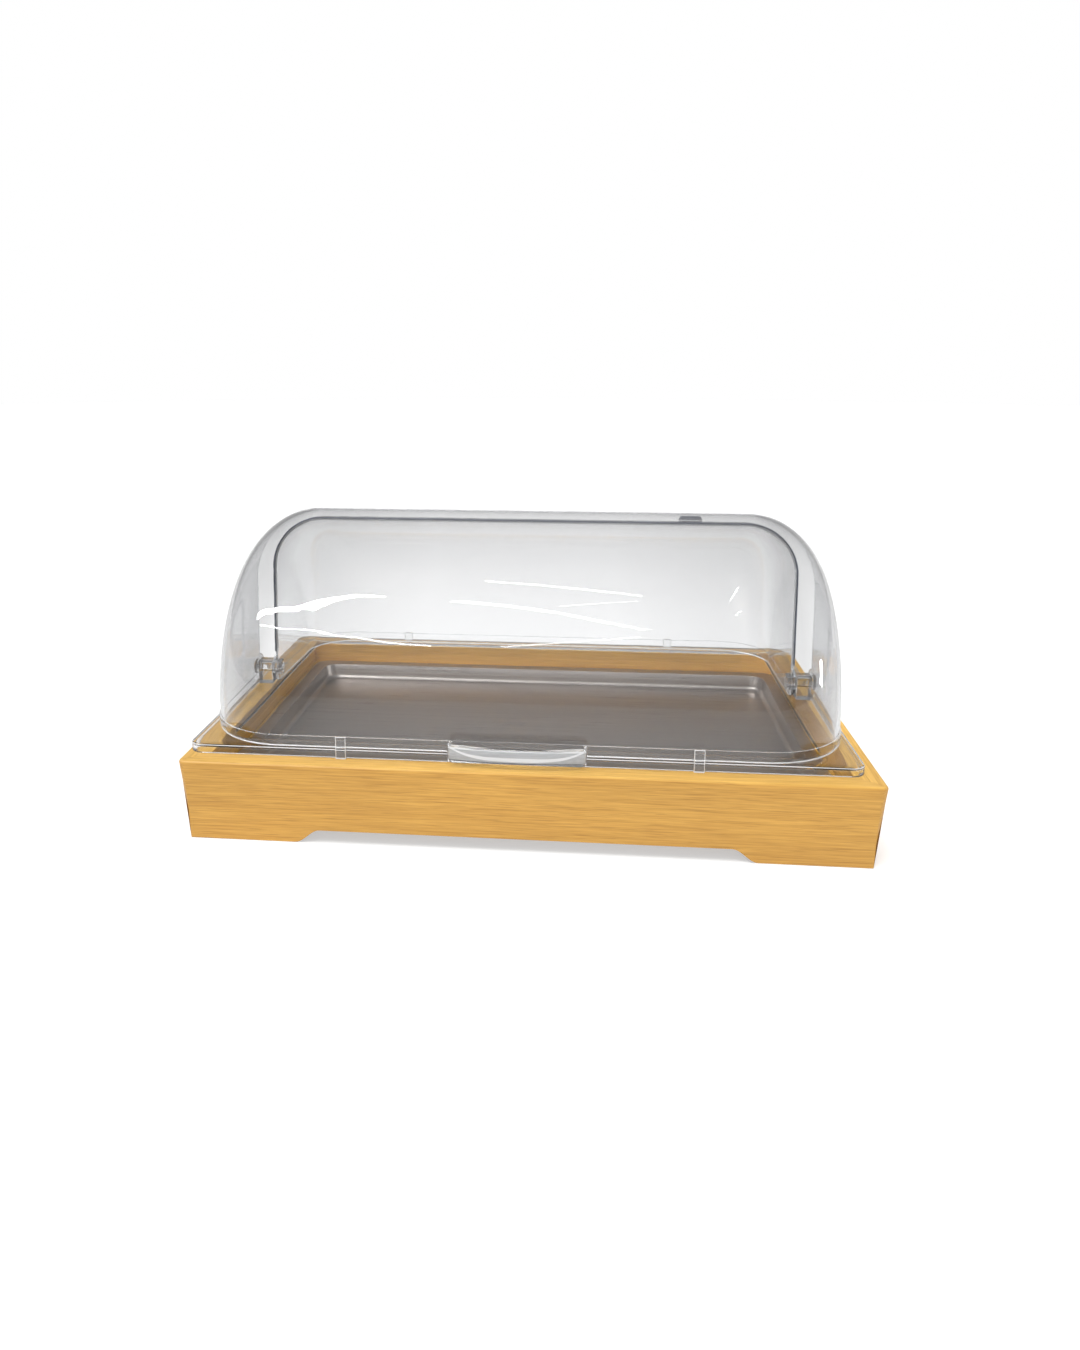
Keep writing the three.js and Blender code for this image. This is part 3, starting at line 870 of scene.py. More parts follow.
def build_rail(node, side, along_y):
    """One rail of the box, lofted along its length between its mitred ends."""
    s = sizes()
    half_length, half_across = (BOX_Y, BOX_X) if along_y else (BOX_X, BOX_Y)
    opening_length, opening_across = (OPENING_Y, OPENING_X) if along_y else (OPENING_X, OPENING_Y)
    foot = s.short_foot if along_y else s.long_foot
    corner = s.box_corner
    stations = rail_stations(half_length, foot)
    places = [-place for place in reversed(stations[1:])] + stations
    straight_end = half_length - corner
    end = stations[-1]
    inner_straight = opening_length - MITRE_START
    side_top = BOX_TOP - s.top_arris

    def outer_point(place, inset, z):
        lean = s.taper * (1 - min(1.0, z / side_top))
        sign = -1 if place < 0 else 1
        over = max(0.0, abs(place) - straight_end)
        turn = over / corner
        along = min(abs(place), straight_end) - lean * min(1.0, abs(place) / straight_end) * (over > 0)
        out = half_across - lean - inset - corner + corner * math.cos(turn)
        along += corner * math.sin(turn) - inset * math.sin(turn)
        return sign * along, out

    def inner_point(place, outset):
        sign = -1 if place < 0 else 1
        share = max(0.0, abs(place) - inner_straight) / (end - inner_straight)
        along = min(abs(place), inner_straight) + share * (opening_length + outset - inner_straight)
        return sign * along, opening_across + outset

    rings = []
    for place in places:
        outer_foot = arch_rise(outer_point(place, 0, 0)[0], half_length, foot)
        inner_foot = arch_rise(inner_point(place, 0)[0], half_length, foot)
        section = [(*outer_point(place, 0, z), z) for z in spread(outer_foot, side_top, SIDE_LEVELS)]
        for turn in quarter_turns(CORNER_STEPS):
            inset = s.top_arris * (1 - math.cos(turn))
            z = side_top + s.top_arris * math.sin(turn)
            section.append((*outer_point(place, inset, z), z))
        for turn in quarter_turns(ARRIS_STEPS):
            outset = s.inner_arris * (1 - math.sin(turn))
            z = BOX_TOP - s.inner_arris * (1 - math.cos(turn))
            section.append((*inner_point(place, outset), z))
        section.append((*inner_point(place, 0), inner_foot))
        ring = []
        for along, out, z in section:
            if abs(place) == end:
                along -= math.copysign(MITRE_GAP, along)
            x, y = (side * out, along) if along_y else (along, side * out)
            ring.append(Vector((x, y, z)))
        rings.append(ring)
    piece = new_piece(node + "_board", *loft(rings))
    round_edges(piece, RAIL_EDGE)
    return piece


def cover_facts(which):
    """Sizes of the front or the rear cover, about the pivot line."""
    s = sizes()
    front = which == "front"
    radius = s.front_radius if front else s.rear_radius
    half = s.front_half if front else s.rear_half
    corner = s.front_corner if front else s.rear_corner
    rise = radius - corner
    return {
        "radius": radius, "half": half, "corner": corner,
        "rise": rise, "middle": half - s.draft * rise - corner,
        "side": -1 if front else 1, "edge": 0.0 if front else REAR_EDGE,
        "wall": s.cover_wall, "draft": s.draft,
    }


def cover_columns(cover):
    """Places across a cover, from its left ear over the top to its right one."""
    near = [COVER_EAR, COVER_EAR + EAR_STEP, BAND_START]
    walls = near + spread(BAND_START + BAND_RAMP, cover["rise"], WALL_COLUMNS) + [cover["rise"]]
    half = [("wall", value) for value in walls]
    half += [("fillet", turn) for turn in quarter_turns(FILLET_STEPS, 1)]
    left = [(-1, kind, value) for kind, value in half]
    right = [(1, kind, value) for kind, value in reversed(half)]
    top = [(1, "top", 2 * i / TOP_COLUMNS - 1) for i in range(1, TOP_COLUMNS)]
    return left + top + right


def column_place(cover, column, growth):
    """Distance along X and from the pivot line of a column, when the cover's skin is grown by a distance."""
    side, kind, value = column
    corner = cover["corner"]
    if kind == "wall":
        return side * (cover["half"] + growth - cover["draft"] * value), value
    if kind == "fillet":
        return (side * (cover["middle"] + (corner + growth) * math.cos(value)),
                cover["rise"] + (corner + growth) * math.sin(value))
    return side * cover["middle"] * value, cover["radius"] + growth


def cover_rows(wall):
    """Rows down a cover: where each lies, and how far its outer and inner skins are grown."""
    soft = COVER_SOFT
    along, across = soft * RIM_ALONG_SHARE, soft * RIM_ACROSS_SHARE
    rows = [("edge", 0.0, -soft, soft - wall), ("edge", along, -across, across - wall)]
    rows += [("sheet", i / COVER_ROWS, 0.0, -wall) for i in range(COVER_ROWS + 1)]
    rows += [("band", i / BAND_ROWS, "proud", -wall) for i in range(BAND_ROWS + 1)]
    rows += [("foot", along, "proud", across - wall), ("foot", 0.0, "less", soft - wall)]
    return rows


def row_turn(cover, rho, row):
    """Angle from straight up at which a row crosses a column."""
    place, value = row[0], row[1]
    edge = cover["edge"]
    band_top = COVER_FOOT + COVER_BAND

    def at_height(z):
        limit = math.pi - math.asin(edge / rho)
        return min(limit, math.acos(max(-1.0, z / rho)))

    first = math.asin((edge + COVER_SOFT) / rho)
    if place == "edge":
        return math.asin((edge + value) / rho)
    if place == "sheet":
        return first + (at_height(band_top) - first) * value
    if place == "band":
        return at_height(band_top) + (at_height(COVER_FOOT + COVER_SOFT) - at_height(band_top)) * value
    return at_height(COVER_FOOT + value)


def cover_grid(cover, columns, rows, skin):
    """Points of a cover's outer or inner skin, column by column."""
    grid = []
    for column in columns:
        ramp = 1.0
        if column[1] == "wall":
            ramp = min(1.0, max(0.0, (column[2] - BAND_START) / BAND_RAMP))
        line = []
        for row in rows:
            growth = row[2] if skin == "outer" else row[3]
            if growth == "proud":
                growth = COVER_PROUD * ramp
            elif growth == "less":
                growth = COVER_PROUD * ramp - COVER_SOFT
            x, rho = column_place(cover, column, growth)
            turn = row_turn(cover, rho, row)
            line.append(Vector((x, cover["side"] * rho * math.sin(turn), rho * math.cos(turn))))
        grid.append(line)
    return grid


def build_cover(name, cover):
    """A clear cover: two skins, joined along their edges, with a round ear and a pin hole at each end."""
    columns = cover_columns(cover)
    rows = cover_rows(cover["wall"])
    grids = [cover_grid(cover, columns, rows, skin) for skin in ("outer", "inner")]
    height = len(rows)
    points = [point for grid in grids for line in grid for point in line]
    inner_start = len(columns) * height
    faces = []

    def at(skin, column, row):
        return (inner_start if skin else 0) + column * height + row

    for column in range(len(columns) - 1):
        for skin in (0, 1):
            for row in range(height - 1):
                faces.append((at(skin, column, row), at(skin, column, row + 1),
                              at(skin, column + 1, row + 1), at(skin, column + 1, row)))
        for row in (0, height - 1):
            faces.append((at(0, column, row), at(0, column + 1, row),
                          at(1, column + 1, row), at(1, column, row)))
    for end_column, side in ((0, -1), (len(columns) - 1, 1)):
        add_ear(cover, points, faces, side, [
            [at(skin, end_column, row) for row in range(height)] for skin in (0, 1)])
    return new_piece(name, [point + PIVOT for point in points], faces)


def turn_of(cover, point):
    """Angle of a point about the pivot line, from straight up and towards the cover's own side."""
    return math.atan2(cover["side"] * point.y, point.z)


def join_rings(faces, ring, following, first=0):
    """Adds the faces between two closed rings of points."""
    count = len(ring)
    for i in range(first, count):
        j = (i + 1) % count
        faces.append((ring[i], ring[j], following[j], following[i]))


def ear_point(cover, side, radius, growth, turn):
    x = side * (cover["half"] + growth - cover["draft"] * radius)
    return Vector((x, cover["side"] * radius * math.sin(turn), radius * math.cos(turn)))


def add_ear(cover, points, faces, side, edges):
    """Closes one end of a cover with a round ear about its pin hole."""
    soft = COVER_SOFT
    start = turn_of(cover, points[edges[0][0]])
    end = turn_of(cover, points[edges[0][-1]])
    if end <= start:
        end += 2 * math.pi
    beyond = spread(end, start + 2 * math.pi, EAR_STEPS)[1:]
    rims = []
    for skin in (0, 1):
        growth = 0.0 if skin == 0 else -cover["wall"]
        inward = -soft if skin == 0 else soft
        turns = [turn_of(cover, points[i]) for i in edges[skin]] + beyond
        rim = list(edges[skin])
        for turn in beyond:
            rim.append(len(points))
            points.append(ear_point(cover, side, COVER_EAR, growth + inward, turn))
        rings = [rim]
        for radius, shift in ((COVER_EAR - soft, 0.0), (PIN_HOLE + soft / 2, 0.0), (PIN_HOLE, inward / 2)):
            ring = []
            for turn in turns:
                ring.append(len(points))
                points.append(ear_point(cover, side, radius, growth + shift, turn))
            rings.append(ring)
        for ring, following in zip(rings, rings[1:]):
            join_rings(faces, ring, following)
        rims.append((rim, rings[-1]))
    join_rings(faces, rims[0][0], rims[1][0], first=len(edges[0]) - 1)
    join_rings(faces, rims[0][1], rims[1][1])


def build_seal():
    """Dark strip that follows the rear cover's front edge, with a round section."""
    cover = cover_facts("rear")
    back = cover["edge"] - SEAL_GAP
    front = back - SEAL_WIDTH
    half_y, half_out = (back - front) / 2, SEAL_HEIGHT / 2
    section = []
    for turn in full_turns(SEAL_STEPS):
        squash = 1 / max(abs(math.cos(turn)), abs(math.sin(turn))) ** SEAL_SQUARENESS
        section.append(((front + back) / 2 + half_y * squash * math.cos(turn),
                        SEAL_PROUD - half_out + half_out * squash * math.sin(turn)))
    rings = []
    for column in cover_columns(cover):
        if column[1] == "wall" and column[2] <= SEAL_START:
            continue
        ring = []
        for y, growth in section:
            x, rho = column_place(cover, column, growth)
            ring.append(PIVOT + Vector((x, y, math.sqrt(rho * rho - y * y))))
        rings.append(ring)
    return new_piece("edge_seal_strip", *loft(rings))


class CaseOperator:
    """What all the operators share: they run from the panel and from main()."""

    bl_options = {"REGISTER", "UNDO"}


class DISPLAYCASE_OT_rails(CaseOperator, bpy.types.Operator):
    """Build the four mitred oak rails of the box"""

    bl_idname = "display_case.rails"
    bl_label = "Oak Rails"

    def execute(self, context):
        for node, side, along_y, grain_start in RAILS:
            rail = build_rail(node, side, along_y)
            finish(rail, node, oak_material("Oak " + node, along_y, grain_start))
            self.paint_underside_shade(rail)
        return {"FINISHED"}

    def paint_underside_shade(self, rail):
        """The sawn lower edge is bare wood, made dark as painted shade."""
        wood = shared_material("Oak underneath in painted shade", oak_material, brightness=UNDERSIDE_SHADE, lacquer=0.0)
        second_look(rail, wood, lambda face: face.normal.z < FACING_DOWN)


class DISPLAYCASE_OT_ledges(CaseOperator, bpy.types.Operator):
    """Build the battens that carry the tray"""

    bl_idname = "display_case.ledges"
    bl_label = "Tray Ledges"

    def execute(self, context):
        for node in ("ledge_front", "ledge_back", "ledge_left", "ledge_right"):
            along_y = node.endswith(("left", "right"))
            ledge = block(node + "_batten", *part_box(node))
            round_edges(ledge, LEDGE_EDGE, BLOCK_SEGMENTS)
            wood = shared_material(
                "Bare oak " + ("across" if along_y else "along"), oak_material,
                along_y=along_y, offset=LEDGE_GRAIN_START, brightness=LEDGE_SHARE, lacquer=0.0)
            finish(ledge, node, wood)
        return {"FINISHED"}


class DISPLAYCASE_OT_tray(CaseOperator, bpy.types.Operator):
    """Press the steel tray"""

    bl_idname = "display_case.tray"
    bl_label = "Steel Tray"

    def execute(self, context):
        s = sizes()
        low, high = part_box("steel_tray")
        sheet, rim = s.tray_sheet, s.tray_rim
        wall_corner = TRAY_CORNER + sheet
        floor_top = low.z + sheet

        def ring(inset, z, corner):
            return rounded_ring(high.x - inset, high.y - inset, corner, z)

        def floor_rings(shift, lift):
            rings = []
            for turn in quarter_turns(TRAY_BEND_STEPS):
                along = TRAY_BEND * (1 - math.sin(turn))
                up = TRAY_BEND * (1 - math.cos(turn))
                rings.append(ring(rim + TRAY_SLOPE + shift + along, floor_top + lift + up, wall_corner))
            return rings

        rings = floor_rings(0, -sheet)
        rings += [ring(rim, high.z - sheet, wall_corner)]
        rings += [ring(0, high.z - sheet, TRAY_CORNER), ring(0, high.z, TRAY_CORNER)]
        rings += [ring(rim + sheet, high.z, wall_corner)]
        rings += list(reversed(floor_rings(sheet, 0)))
        tray = new_piece("steel_tray_sheet", *loft(rings))
        round_edges(tray, TRAY_EDGE)
        finish(tray, "steel_tray", steel_material())
        return {"FINISHED"}


class DISPLAYCASE_OT_frame(CaseOperator, bpy.types.Operator):
    """Mould the clear frame, its locating strips and its lugs"""

    bl_idname = "display_case.frame"
    bl_label = "Clear Frame"

    def execute(self, context):
        self.add_moulding()
        for side in ("front", "back", "left", "right"):
            self.add_block("locating_strip_" + side, strip_plastic())
        for place in ("front", "back"):
            for side in ("left", "right"):
                # The lugs' narrow edge faces get a painted highlight
                paint_edge_highlights(self.add_block(place + "_lug_" + side, fitting_plastic()), HIGHLIGHT_WIDTH)
        return {"FINISHED"}

    def add_moulding(self):
        s = sizes()
        low, high = FRAME_LOW, FRAME_HIGH
        half_x, half_y = (high.x - low.x) / 2, (high.y - low.y) / 2
        middle = (COVER_MIDDLE_X, 0.0)
        wall, edge = s.frame_wall, FRAME_TOP_EDGE
        under = high.z - wall
        skirt_corner = FRAME_CORNER - wall / 2

        def outer(inset, z, radius=FRAME_CORNER):
            return rounded_ring(half_x - inset, half_y - inset, radius, z, middle)

        def inner(z):
            return rounded_ring(
                half_x - s.frame_rim_x, half_y - s.frame_rim_y, FRAME_OPENING_CORNER, z, middle)

        rings = [outer(0, low.z), outer(0, high.z - edge)]
        for turn in quarter_turns(ARRIS_STEPS, 1):
            rings.append(outer(edge * (1 - math.cos(turn)), high.z - edge + edge * math.sin(turn)))
        rings += [inner(high.z), inner(under)]
        rings += [outer(wall, under, skirt_corner), outer(wall, low.z, skirt_corner)]
        piece = new_piece("clear_frame_moulding", *loft(rings, joined=True))
        round_edges(piece, FRAME_EDGE)
        finish(piece, "clear_frame", fitting_plastic())
        # The frame's narrow edge faces get a painted highlight
        paint_edge_highlights(piece, HIGHLIGHT_WIDTH)

    def add_block(self, node, plastic):
        part = block(node + "_moulding", *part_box(node))
        round_edges(part, FRAME_EDGE, BLOCK_SEGMENTS)
        finish(part, node, plastic)
        return part


class DISPLAYCASE_OT_covers(CaseOperator, bpy.types.Operator):
    """Mould the front and the rear cover"""

    bl_idname = "display_case.covers"
    bl_label = "Clear Covers"

    def execute(self, context):
        for which, plastic in (("rear", clear_plastic), ("front", front_cover_plastic)):
            cover = cover_facts(which)
            piece = build_cover(which + "_cover_shell", cover)
            finish(piece, which + "_cover", plastic())
            lip = cover["edge"] + COVER_SOFT
            foot = PIVOT.z + COVER_FOOT + COVER_SOFT
            # The covers' front edges and feet get a painted highlight
            second_look(piece, painted_edge_highlight(), lambda face: abs(face.center.y) < lip or face.center.z < foot)
        return {"FINISHED"}


class DISPLAYCASE_OT_trim(CaseOperator, bpy.types.Operator):
    """Add the dark seal and the bumper on the rear cover"""

    bl_idname = "display_case.trim"
    bl_label = "Seal and Bumper"

    def execute(self, context):
        rubber = rubber_material()
        finish(build_seal(), "edge_seal", rubber)
        cover = cover_facts("rear")
        place = cover["half"] - BUMPER_FROM_END
        turn = Matrix.Rotation(-math.asin(BUMPER_BEHIND / cover["radius"]), 4, "X")
        seat = cover["radius"] + BUMPER_GAP

        def drum(outline):
            """Rings about the bumper's own middle line."""
            rings = []
            for out, rise in outline:
                ring = []
                for angle in full_turns(ROUND_STEPS):
                    y = out * math.sin(angle)
                    z = math.sqrt(seat * seat - y * y) if rise is None else cover["radius"] + rise
                    ring.append(PIVOT + turn @ Vector((place + out * math.cos(angle), y, z)))
                rings.append(ring)
            return rings

        hollow = BUMPER_RADIUS - BUMPER_WALL
        outline = [(BUMPER_RADIUS - inset, rise) for inset, rise in RING_OUTSIDE]
        outline += [(hollow + outset, rise) for outset, rise in RING_INSIDE]
        bumper = new_piece("bumper_ring_drum", *loft(drum(outline), joined=True))
        finish(bumper, "bumper_ring", smoked_plastic())
        level = turn.transposed()
        dark = cover["radius"] + RING_DARK
        second_look(bumper, rubber, lambda face: (level @ (face.center - PIVOT)).z > dark)
        radius = hollow - BUMPER_GAP
        outline = [(DISC_MIDDLE, None), (radius / 2, None)]
        outline += [(radius - inset, rise) for inset, rise in DISC_OUTSIDE]
        outline += [(radius / 2, DISC_TOP), (DISC_MIDDLE, DISC_TOP)]
        finish(new_piece("bumper_disc_drum", *loft(drum(outline))), "bumper_disc", fitting_plastic())
        return {"FINISHED"}


class DISPLAYCASE_OT_pivots(CaseOperator, bpy.types.Operator):
    """Fit the posts, pins and cross-cut knobs at both pivots"""

    bl_idname = "display_case.pivots"
    bl_label = "Pivots"

    def execute(self, context):
        for word, side in (("left", -1), ("right", 1)):
            self.add_post("bearing_post_" + word)
            self.add_pin("pivot_pin_" + word, side)
            self.add_knob("snap_knob_" + word, side)
        return {"FINISHED"}

    def ends(self, node, side):
        """A piece's outer and inner end along the pivot line, and the way from one to the other."""
        low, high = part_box(node)
        outer, inner = (low.x, high.x) if side < 0 else (high.x, low.x)
        return outer - PIVOT.x, inner - PIVOT.x, -side

    def add_post(self, node):
        low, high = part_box(node)
        half = (high.y - low.y) / 2
        outline = [(-half, low.z), (half, low.z), (half, high.z - POST_CROWN)]
        for turn in quarter_turns(CROWN_STEPS, 1):
            outline.append((half - POST_CROWN + POST_CROWN * math.cos(turn),
                            high.z - POST_CROWN + POST_CROWN * math.sin(turn)))
        outline += [(-y, z) for y, z in reversed(outline[2:])]
        rings = [[Vector((x, y, z)) for y, z in outline] for x in (low.x, high.x)]
        post = new_piece(node + "_moulding", *loft(rings))
        ends = (low.x - HOLE_REACH - PIVOT.x, high.x + HOLE_REACH - PIVOT.x)
        cut_away(post, turned("hole", [(x, PIN_HOLE) for x in ends]))
        round_edges(post, FRAME_EDGE)
        finish(post, node, fitting_plastic())

    def add_pin(self, node, side):
        outer, inner, step = self.ends(node, side)
        head_end = outer + step * PIN_HEAD_LENGTH
        outline = [(outer, PIN_TIP)] + soft_end(outer, step, PIN_HEAD, PIN_SOFT)
        outline += [(outer + step * (PIN_HEAD_LENGTH - PIN_SOFT / 2), PIN_HEAD),
                    (head_end, PIN_HEAD - PIN_SOFT / 2), (head_end, PIN_SHANK),
                    (inner - step * PIN_SOFT, PIN_SHANK), (inner, PIN_SHANK - PIN_SOFT), (inner, PIN_TIP)]
        finish(turned(node + "_turning", outline), node, fitting_plastic())

    def add_knob(self, node, side):
        outer, inner, step = self.ends(node, side)
        outline = [(outer, PIN_HOLE), (outer, KNOB_RADIUS - KNOB_SOFT)]
        outline += [(outer + step * KNOB_SOFT, KNOB_RADIUS)]
        outline += reversed(soft_end(inner, -step, KNOB_RADIUS, KNOB_SOFT))
        outline += [(inner, PIN_HOLE)]
        knob = turned(node + "_moulding", outline, joined=True)
        face = inner + PIVOT.x
        near, far = sorted((face - step * SLOT_DEPTH, face + step * SLOT_REACH))
        for half_y, half_z in ((SLOT_WIDTH / 2, SLOT_REACH), (SLOT_REACH, SLOT_WIDTH / 2)):
            cut_away(knob, block("slot", (near, -half_y, PIVOT.z - half_z), (far, half_y, PIVOT.z + half_z)))
        round_edges(knob, KNOB_EDGE)
        finish(knob, node, fitting_plastic())


class DISPLAYCASE_OT_grip(CaseOperator, bpy.types.Operator):
    """Mould the hollow-backed finger grip on the front cover"""

    bl_idname = "display_case.grip"
    bl_label = "Finger Grip"

    def execute(self, context):
        low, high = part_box("front_grip")
        middle = (low.x + high.x) / 2
        half = (high.x - low.x) / 2
        back = high.y - GRIP_GAP
        corner = GRIP_CORNER
        pocket_half = half - GRIP_WALL
        front = low.y + GRIP_WALL

        def outline(z):
            turns = quarter_turns(CORNER_STEPS)
            ring = [Vector((middle - half, back, z))]
            for sign in (-1, 1):
                for turn in turns if sign < 0 else reversed(turns):
                    ring.append(Vector((middle + sign * (half - corner + corner * math.cos(turn)),
                                        low.y + corner - corner * math.sin(turn), z)))
            ring.append(Vector((middle + half, back, z)))
            return ring

        def pocket(z):
            ring = [Vector((middle + sign * pocket_half, back + GRIP_REACH, z)) for sign in (1, -1)]
            for step in range(POCKET_STEPS + 1):
                share = step / POCKET_STEPS
                x = middle - pocket_half + 2 * pocket_half * share
                ring.append(Vector((x, front + GRIP_BOW * (1 - 4 * share * (1 - share)), z)))
            return ring

        grip = new_piece("front_grip_moulding", *loft([outline(low.z), outline(high.z)]))
        cut_away(grip, new_piece("pocket", *loft([pocket(low.z - GRIP_REACH), pocket(high.z - GRIP_WALL)])))
        room = block("room", (low.x - GRIP_REACH, FRAME_LOW.y - GRIP_MARGIN, low.z - GRIP_REACH),
                     (high.x + GRIP_REACH, 0, FRAME_HIGH.z + GRIP_MARGIN))
        cut_away(grip, room)
        round_edges(grip, GRIP_EDGE)
        finish(grip, "front_grip", fitting_plastic())
        # The grip's narrow edge faces get a painted highlight
        paint_edge_highlights(grip, GRIP_HIGHLIGHT_WIDTH)
        # The back wall of the hollow gets painted light
        deepest = front + GRIP_BOW + GRIP_MARGIN
        second_look(grip, painted_hollow_material(low, high),
                    lambda face: face.normal.y > FACING_BACK and face.center.y < deepest)
        return {"FINISHED"}


def camera_axes():
    """The camera's right, up and forward directions."""
    forward = Vector((math.sin(CAMERA_YAW) * math.cos(CAMERA_PITCH),
                      math.cos(CAMERA_YAW) * math.cos(CAMERA_PITCH), math.sin(CAMERA_PITCH)))
    right = Vector((math.cos(CAMERA_YAW), -math.sin(CAMERA_YAW), 0))
    return right, right.cross(forward), forward


def sight_line(pixel):
    """Direction from the camera through a pixel of the photograph's frame."""
    right, up, forward = camera_axes()
    across = (pixel[0] - AXIS_PIXEL_X) / FOCAL_PIXELS
    down = (pixel[1] - AXIS_PIXEL_Y) / FOCAL_PIXELS
    return (forward + right * across - up * down).normalized()


def add_camera():
    data = bpy.data.cameras.new("Camera")
    data.sensor_fit = "HORIZONTAL"
    data.sensor_width = SENSOR_WIDTH
    data.lens = FOCAL_PIXELS / IMAGE_WIDTH * SENSOR_WIDTH
    data.shift_x = (IMAGE_WIDTH / 2 - AXIS_PIXEL_X) / IMAGE_WIDTH
    data.shift_y = (AXIS_PIXEL_Y - IMAGE_HEIGHT / 2) / IMAGE_WIDTH
    data.clip_start = CLIP_START
    camera = bpy.data.objects.new("Camera", data)
    right, up, forward = camera_axes()
    turn = Matrix((right, up, -forward)).transposed().to_4x4()
    camera.matrix_world = Matrix.Translation(CAMERA_PLACE) @ turn
    bpy.context.scene.collection.objects.link(camera)
    bpy.context.scene.camera = camera


def add_sun():
    """Soft even daylight that the clear plastic doesn't mirror as a spot."""
    data = bpy.data.lights.new("Soft daylight", "SUN")
    data.energy = SUN_STRENGTH
    data.angle = SUN_WIDTH
    sun = bpy.data.objects.new("Soft daylight", data)
    sun.matrix_world = Vector(SUN_TOWARDS).to_track_quat("Z", "Y").to_matrix().to_4x4()
    sun.visible_glossy = False
    sun.visible_transmission = False
    bpy.context.scene.collection.objects.link(sun)


def skin_distance(place):
    """How far a place lies outside the front cover's outer skin."""
    cover = cover_facts("front")
    across = abs(place.x - PIVOT.x)
    rho = math.hypot(place.y, place.z - PIVOT.z)
    if across < cover["middle"]:
        return rho - cover["radius"]
    if rho < cover["rise"]:
        return across - cover["half"] + cover["draft"] * rho
    return math.hypot(across - cover["middle"], rho - cover["rise"]) - cover["corner"]


def mirrored_place(pixel, distance):
    """Where a lamp stands so that the front cover's outer skin mirrors it at a pixel."""
    direction = sight_line(pixel)
    spot = Vector(CAMERA_PLACE)
    for _ in range(TRACE_STEPS):
        spot = spot + direction * skin_distance(spot)
    here = skin_distance(spot)
    normal = Vector(
        skin_distance(spot + step) - here
        for step in (Vector((TRACE_GAP, 0, 0)), Vector((0, TRACE_GAP, 0)), Vector((0, 0, TRACE_GAP)))
    ).normalized()
    bounce = direction - 2 * direction.dot(normal) * normal
    return spot + bounce * distance


def add_streak(name, pixels, thick, thin, power):
    """Long lamps, end to end and tapering, whose streak on the front cover runs through the pixels."""
    places = [mirrored_place(pixel, LAMP_DISTANCE) for pixel in pixels]
    count = len(places) - 1
    for i, (first, last) in enumerate(zip(places, places[1:])):
        thickness = thick + (thin - thick) * i / count
        middle = (first + last) / 2
        data = bpy.data.lights.new(name, "AREA")
        data.shape = "RECTANGLE"
        data.size = (last - first).length
        data.size_y = thickness
        data.energy = power * data.size * thickness
        lamp = bpy.data.objects.new(name, data)
        along = (last - first).normalized()
        back = (middle - PIVOT).normalized()
        back = (back - along * back.dot(along)).normalized()
        turn = Matrix((along, back.cross(along), back)).transposed().to_4x4()
        lamp.matrix_world = Matrix.Translation(middle) @ turn
        lamp.visible_diffuse = False
        lamp.visible_transmission = False
        bpy.context.scene.collection.objects.link(lamp)


def facing_share(tree, place, direction, low, high):
    """Share that rises from 0 to 1 as a look turns towards a direction."""
    dot = put(tree, "ShaderNodeVectorMath", {0: place, 1: direction}, operation="DOT_PRODUCT")
    return remapped(tree, dot.outputs["Value"], low, high)


def set_world():
    """White to look at, also through the clear plastic, and a grey room in what the plastic mirrors."""
    world = bpy.data.worlds.new("Studio")
    bpy.context.scene.world = world
    world.use_nodes = True
    tree = world.node_tree
    tree.nodes.clear()
    place = put(tree, "ShaderNodeTexCoord").outputs["Generated"]
    front_share = facing_share(tree, place, FRONT_DIRECTION, *FRONT_RANGE)
    low_share = remapped(tree, parts_of(tree, place)["Z"], *BACK_HEIGHT_RANGE)
    back_share = combined(tree, facing_share(tree, place, BACK_DIRECTION, *BACK_RANGE), low_share)
    room = blended(tree, back_share, ROOM_COLOUR, grey(0.55))
    room = blended(tree, front_share, room, grey(0.97))
    path = put(tree, "ShaderNodeLightPath").outputs
    scattered = combined(tree, path["Diffuse Depth"], 1.0, "MINIMUM")
    mirrored = combined(tree, path["Glossy Depth"], 1.0, "MINIMUM")
    open_sky = blended(tree, scattered, grey(1.0), grey(0.86))
    seen = blended(tree, mirrored, open_sky, room)
    background = put(tree, "ShaderNodeBackground", {"Color": seen, "Strength": 1.0})
    put(tree, "ShaderNodeOutputWorld", {"Surface": background.outputs[0]})


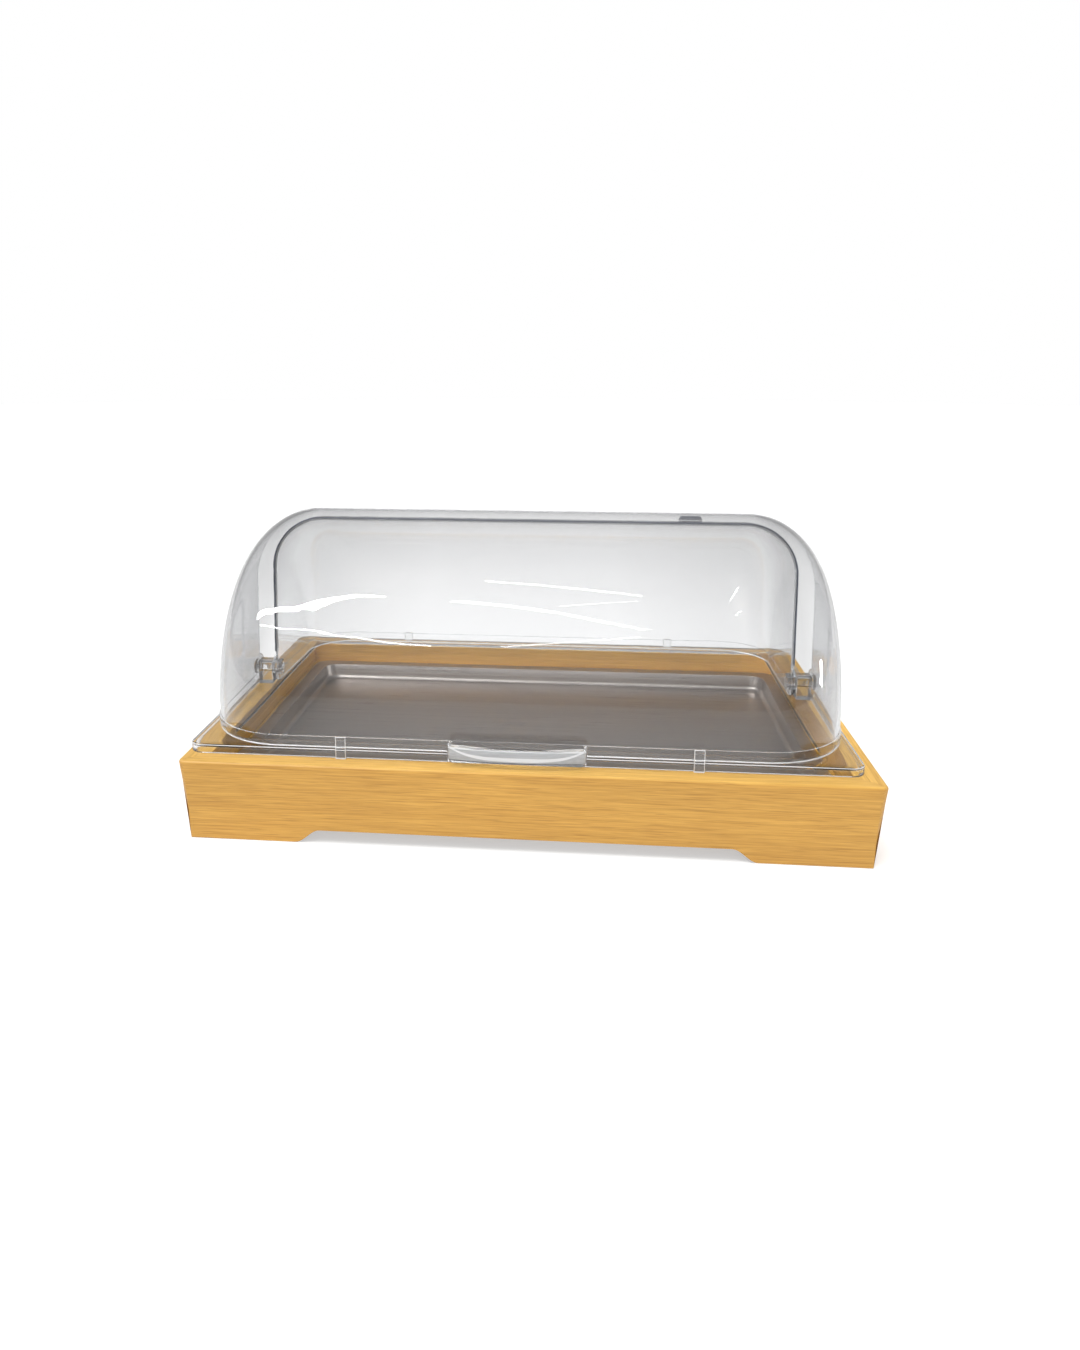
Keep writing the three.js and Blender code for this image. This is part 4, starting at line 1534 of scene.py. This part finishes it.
def add_floor():
    """Pale round floor that glows a little everywhere, and more round the case as painted light that fills
    in the case's shadow.
    """
    points = [(FLOOR_RADIUS * math.cos(turn), FLOOR_RADIUS * math.sin(turn), 0)
              for turn in full_turns(FLOOR_SIDES)]
    mesh = bpy.data.meshes.new("studio_floor")
    mesh.from_pydata(points, [], [tuple(range(FLOOR_SIDES))])
    floor = bpy.data.objects.new("studio_floor", mesh)
    floor.location.z = -FLOOR_DROP
    bpy.context.scene.collection.objects.link(floor)
    material, tree = new_material("Studio floor")
    place = object_place(tree)
    pale = colours().floor
    tone = blended(tree, noise(tree, place, 3.0), shade(pale), shade(pale, 1.02))
    reach = put(tree, "ShaderNodeVectorMath", {0: place}, operation="LENGTH").outputs["Value"]
    glow = remapped(tree, reach, *GLOW_REACH, *GLOW_STRENGTH)
    show(tree, put(tree, "ShaderNodeBsdfPrincipled", {
        "Base Color": tone, "Roughness": 0.9, "Emission Color": tone, "Emission Strength": glow}))
    mesh.materials.append(material)


class DISPLAYCASE_OT_stage(CaseOperator, bpy.types.Operator):
    """Set up the pale floor, the soft lights and the camera"""

    bl_idname = "display_case.stage"
    bl_label = "Studio"

    def execute(self, context):
        context.scene.view_settings.view_transform = "Standard"
        add_camera()
        set_world()
        add_floor()
        add_sun()
        for streak in STREAKS:
            add_streak(*streak)
        return {"FINISHED"}


class DISPLAYCASE_PT_panel(bpy.types.Panel):
    """Lists the pieces of the display case"""

    bl_idname = "DISPLAYCASE_PT_panel"
    bl_label = "Display Case"
    bl_space_type = "VIEW_3D"
    bl_region_type = "UI"
    bl_category = "Display Case"

    def draw(self, context):
        column = self.layout.column(align=True)
        for operator in OPERATORS:
            column.operator(operator.bl_idname)
        for settings in (context.scene.display_case_sizes, context.scene.display_case_colours):
            box = self.layout.box()
            for name in settings.__annotations__:
                box.prop(settings, name)


OPERATORS = (
    DISPLAYCASE_OT_stage,
    DISPLAYCASE_OT_rails,
    DISPLAYCASE_OT_ledges,
    DISPLAYCASE_OT_tray,
    DISPLAYCASE_OT_frame,
    DISPLAYCASE_OT_covers,
    DISPLAYCASE_OT_trim,
    DISPLAYCASE_OT_pivots,
    DISPLAYCASE_OT_grip,
)
CLASSES = (DisplayCaseSizes, DisplayCaseColours) + OPERATORS + (DISPLAYCASE_PT_panel,)


def register():
    for cls in CLASSES:
        bpy.utils.register_class(cls)
    bpy.types.Scene.display_case_sizes = bpy.props.PointerProperty(type=DisplayCaseSizes)
    bpy.types.Scene.display_case_colours = bpy.props.PointerProperty(type=DisplayCaseColours)


def unregister():
    del bpy.types.Scene.display_case_colours
    del bpy.types.Scene.display_case_sizes
    for cls in reversed(CLASSES):
        bpy.utils.unregister_class(cls)


def main():
    register()
    for operator in OPERATORS:
        section, name = operator.bl_idname.split(".")
        getattr(getattr(bpy.ops, section), name)()


if __name__ == "__main__":
    main()
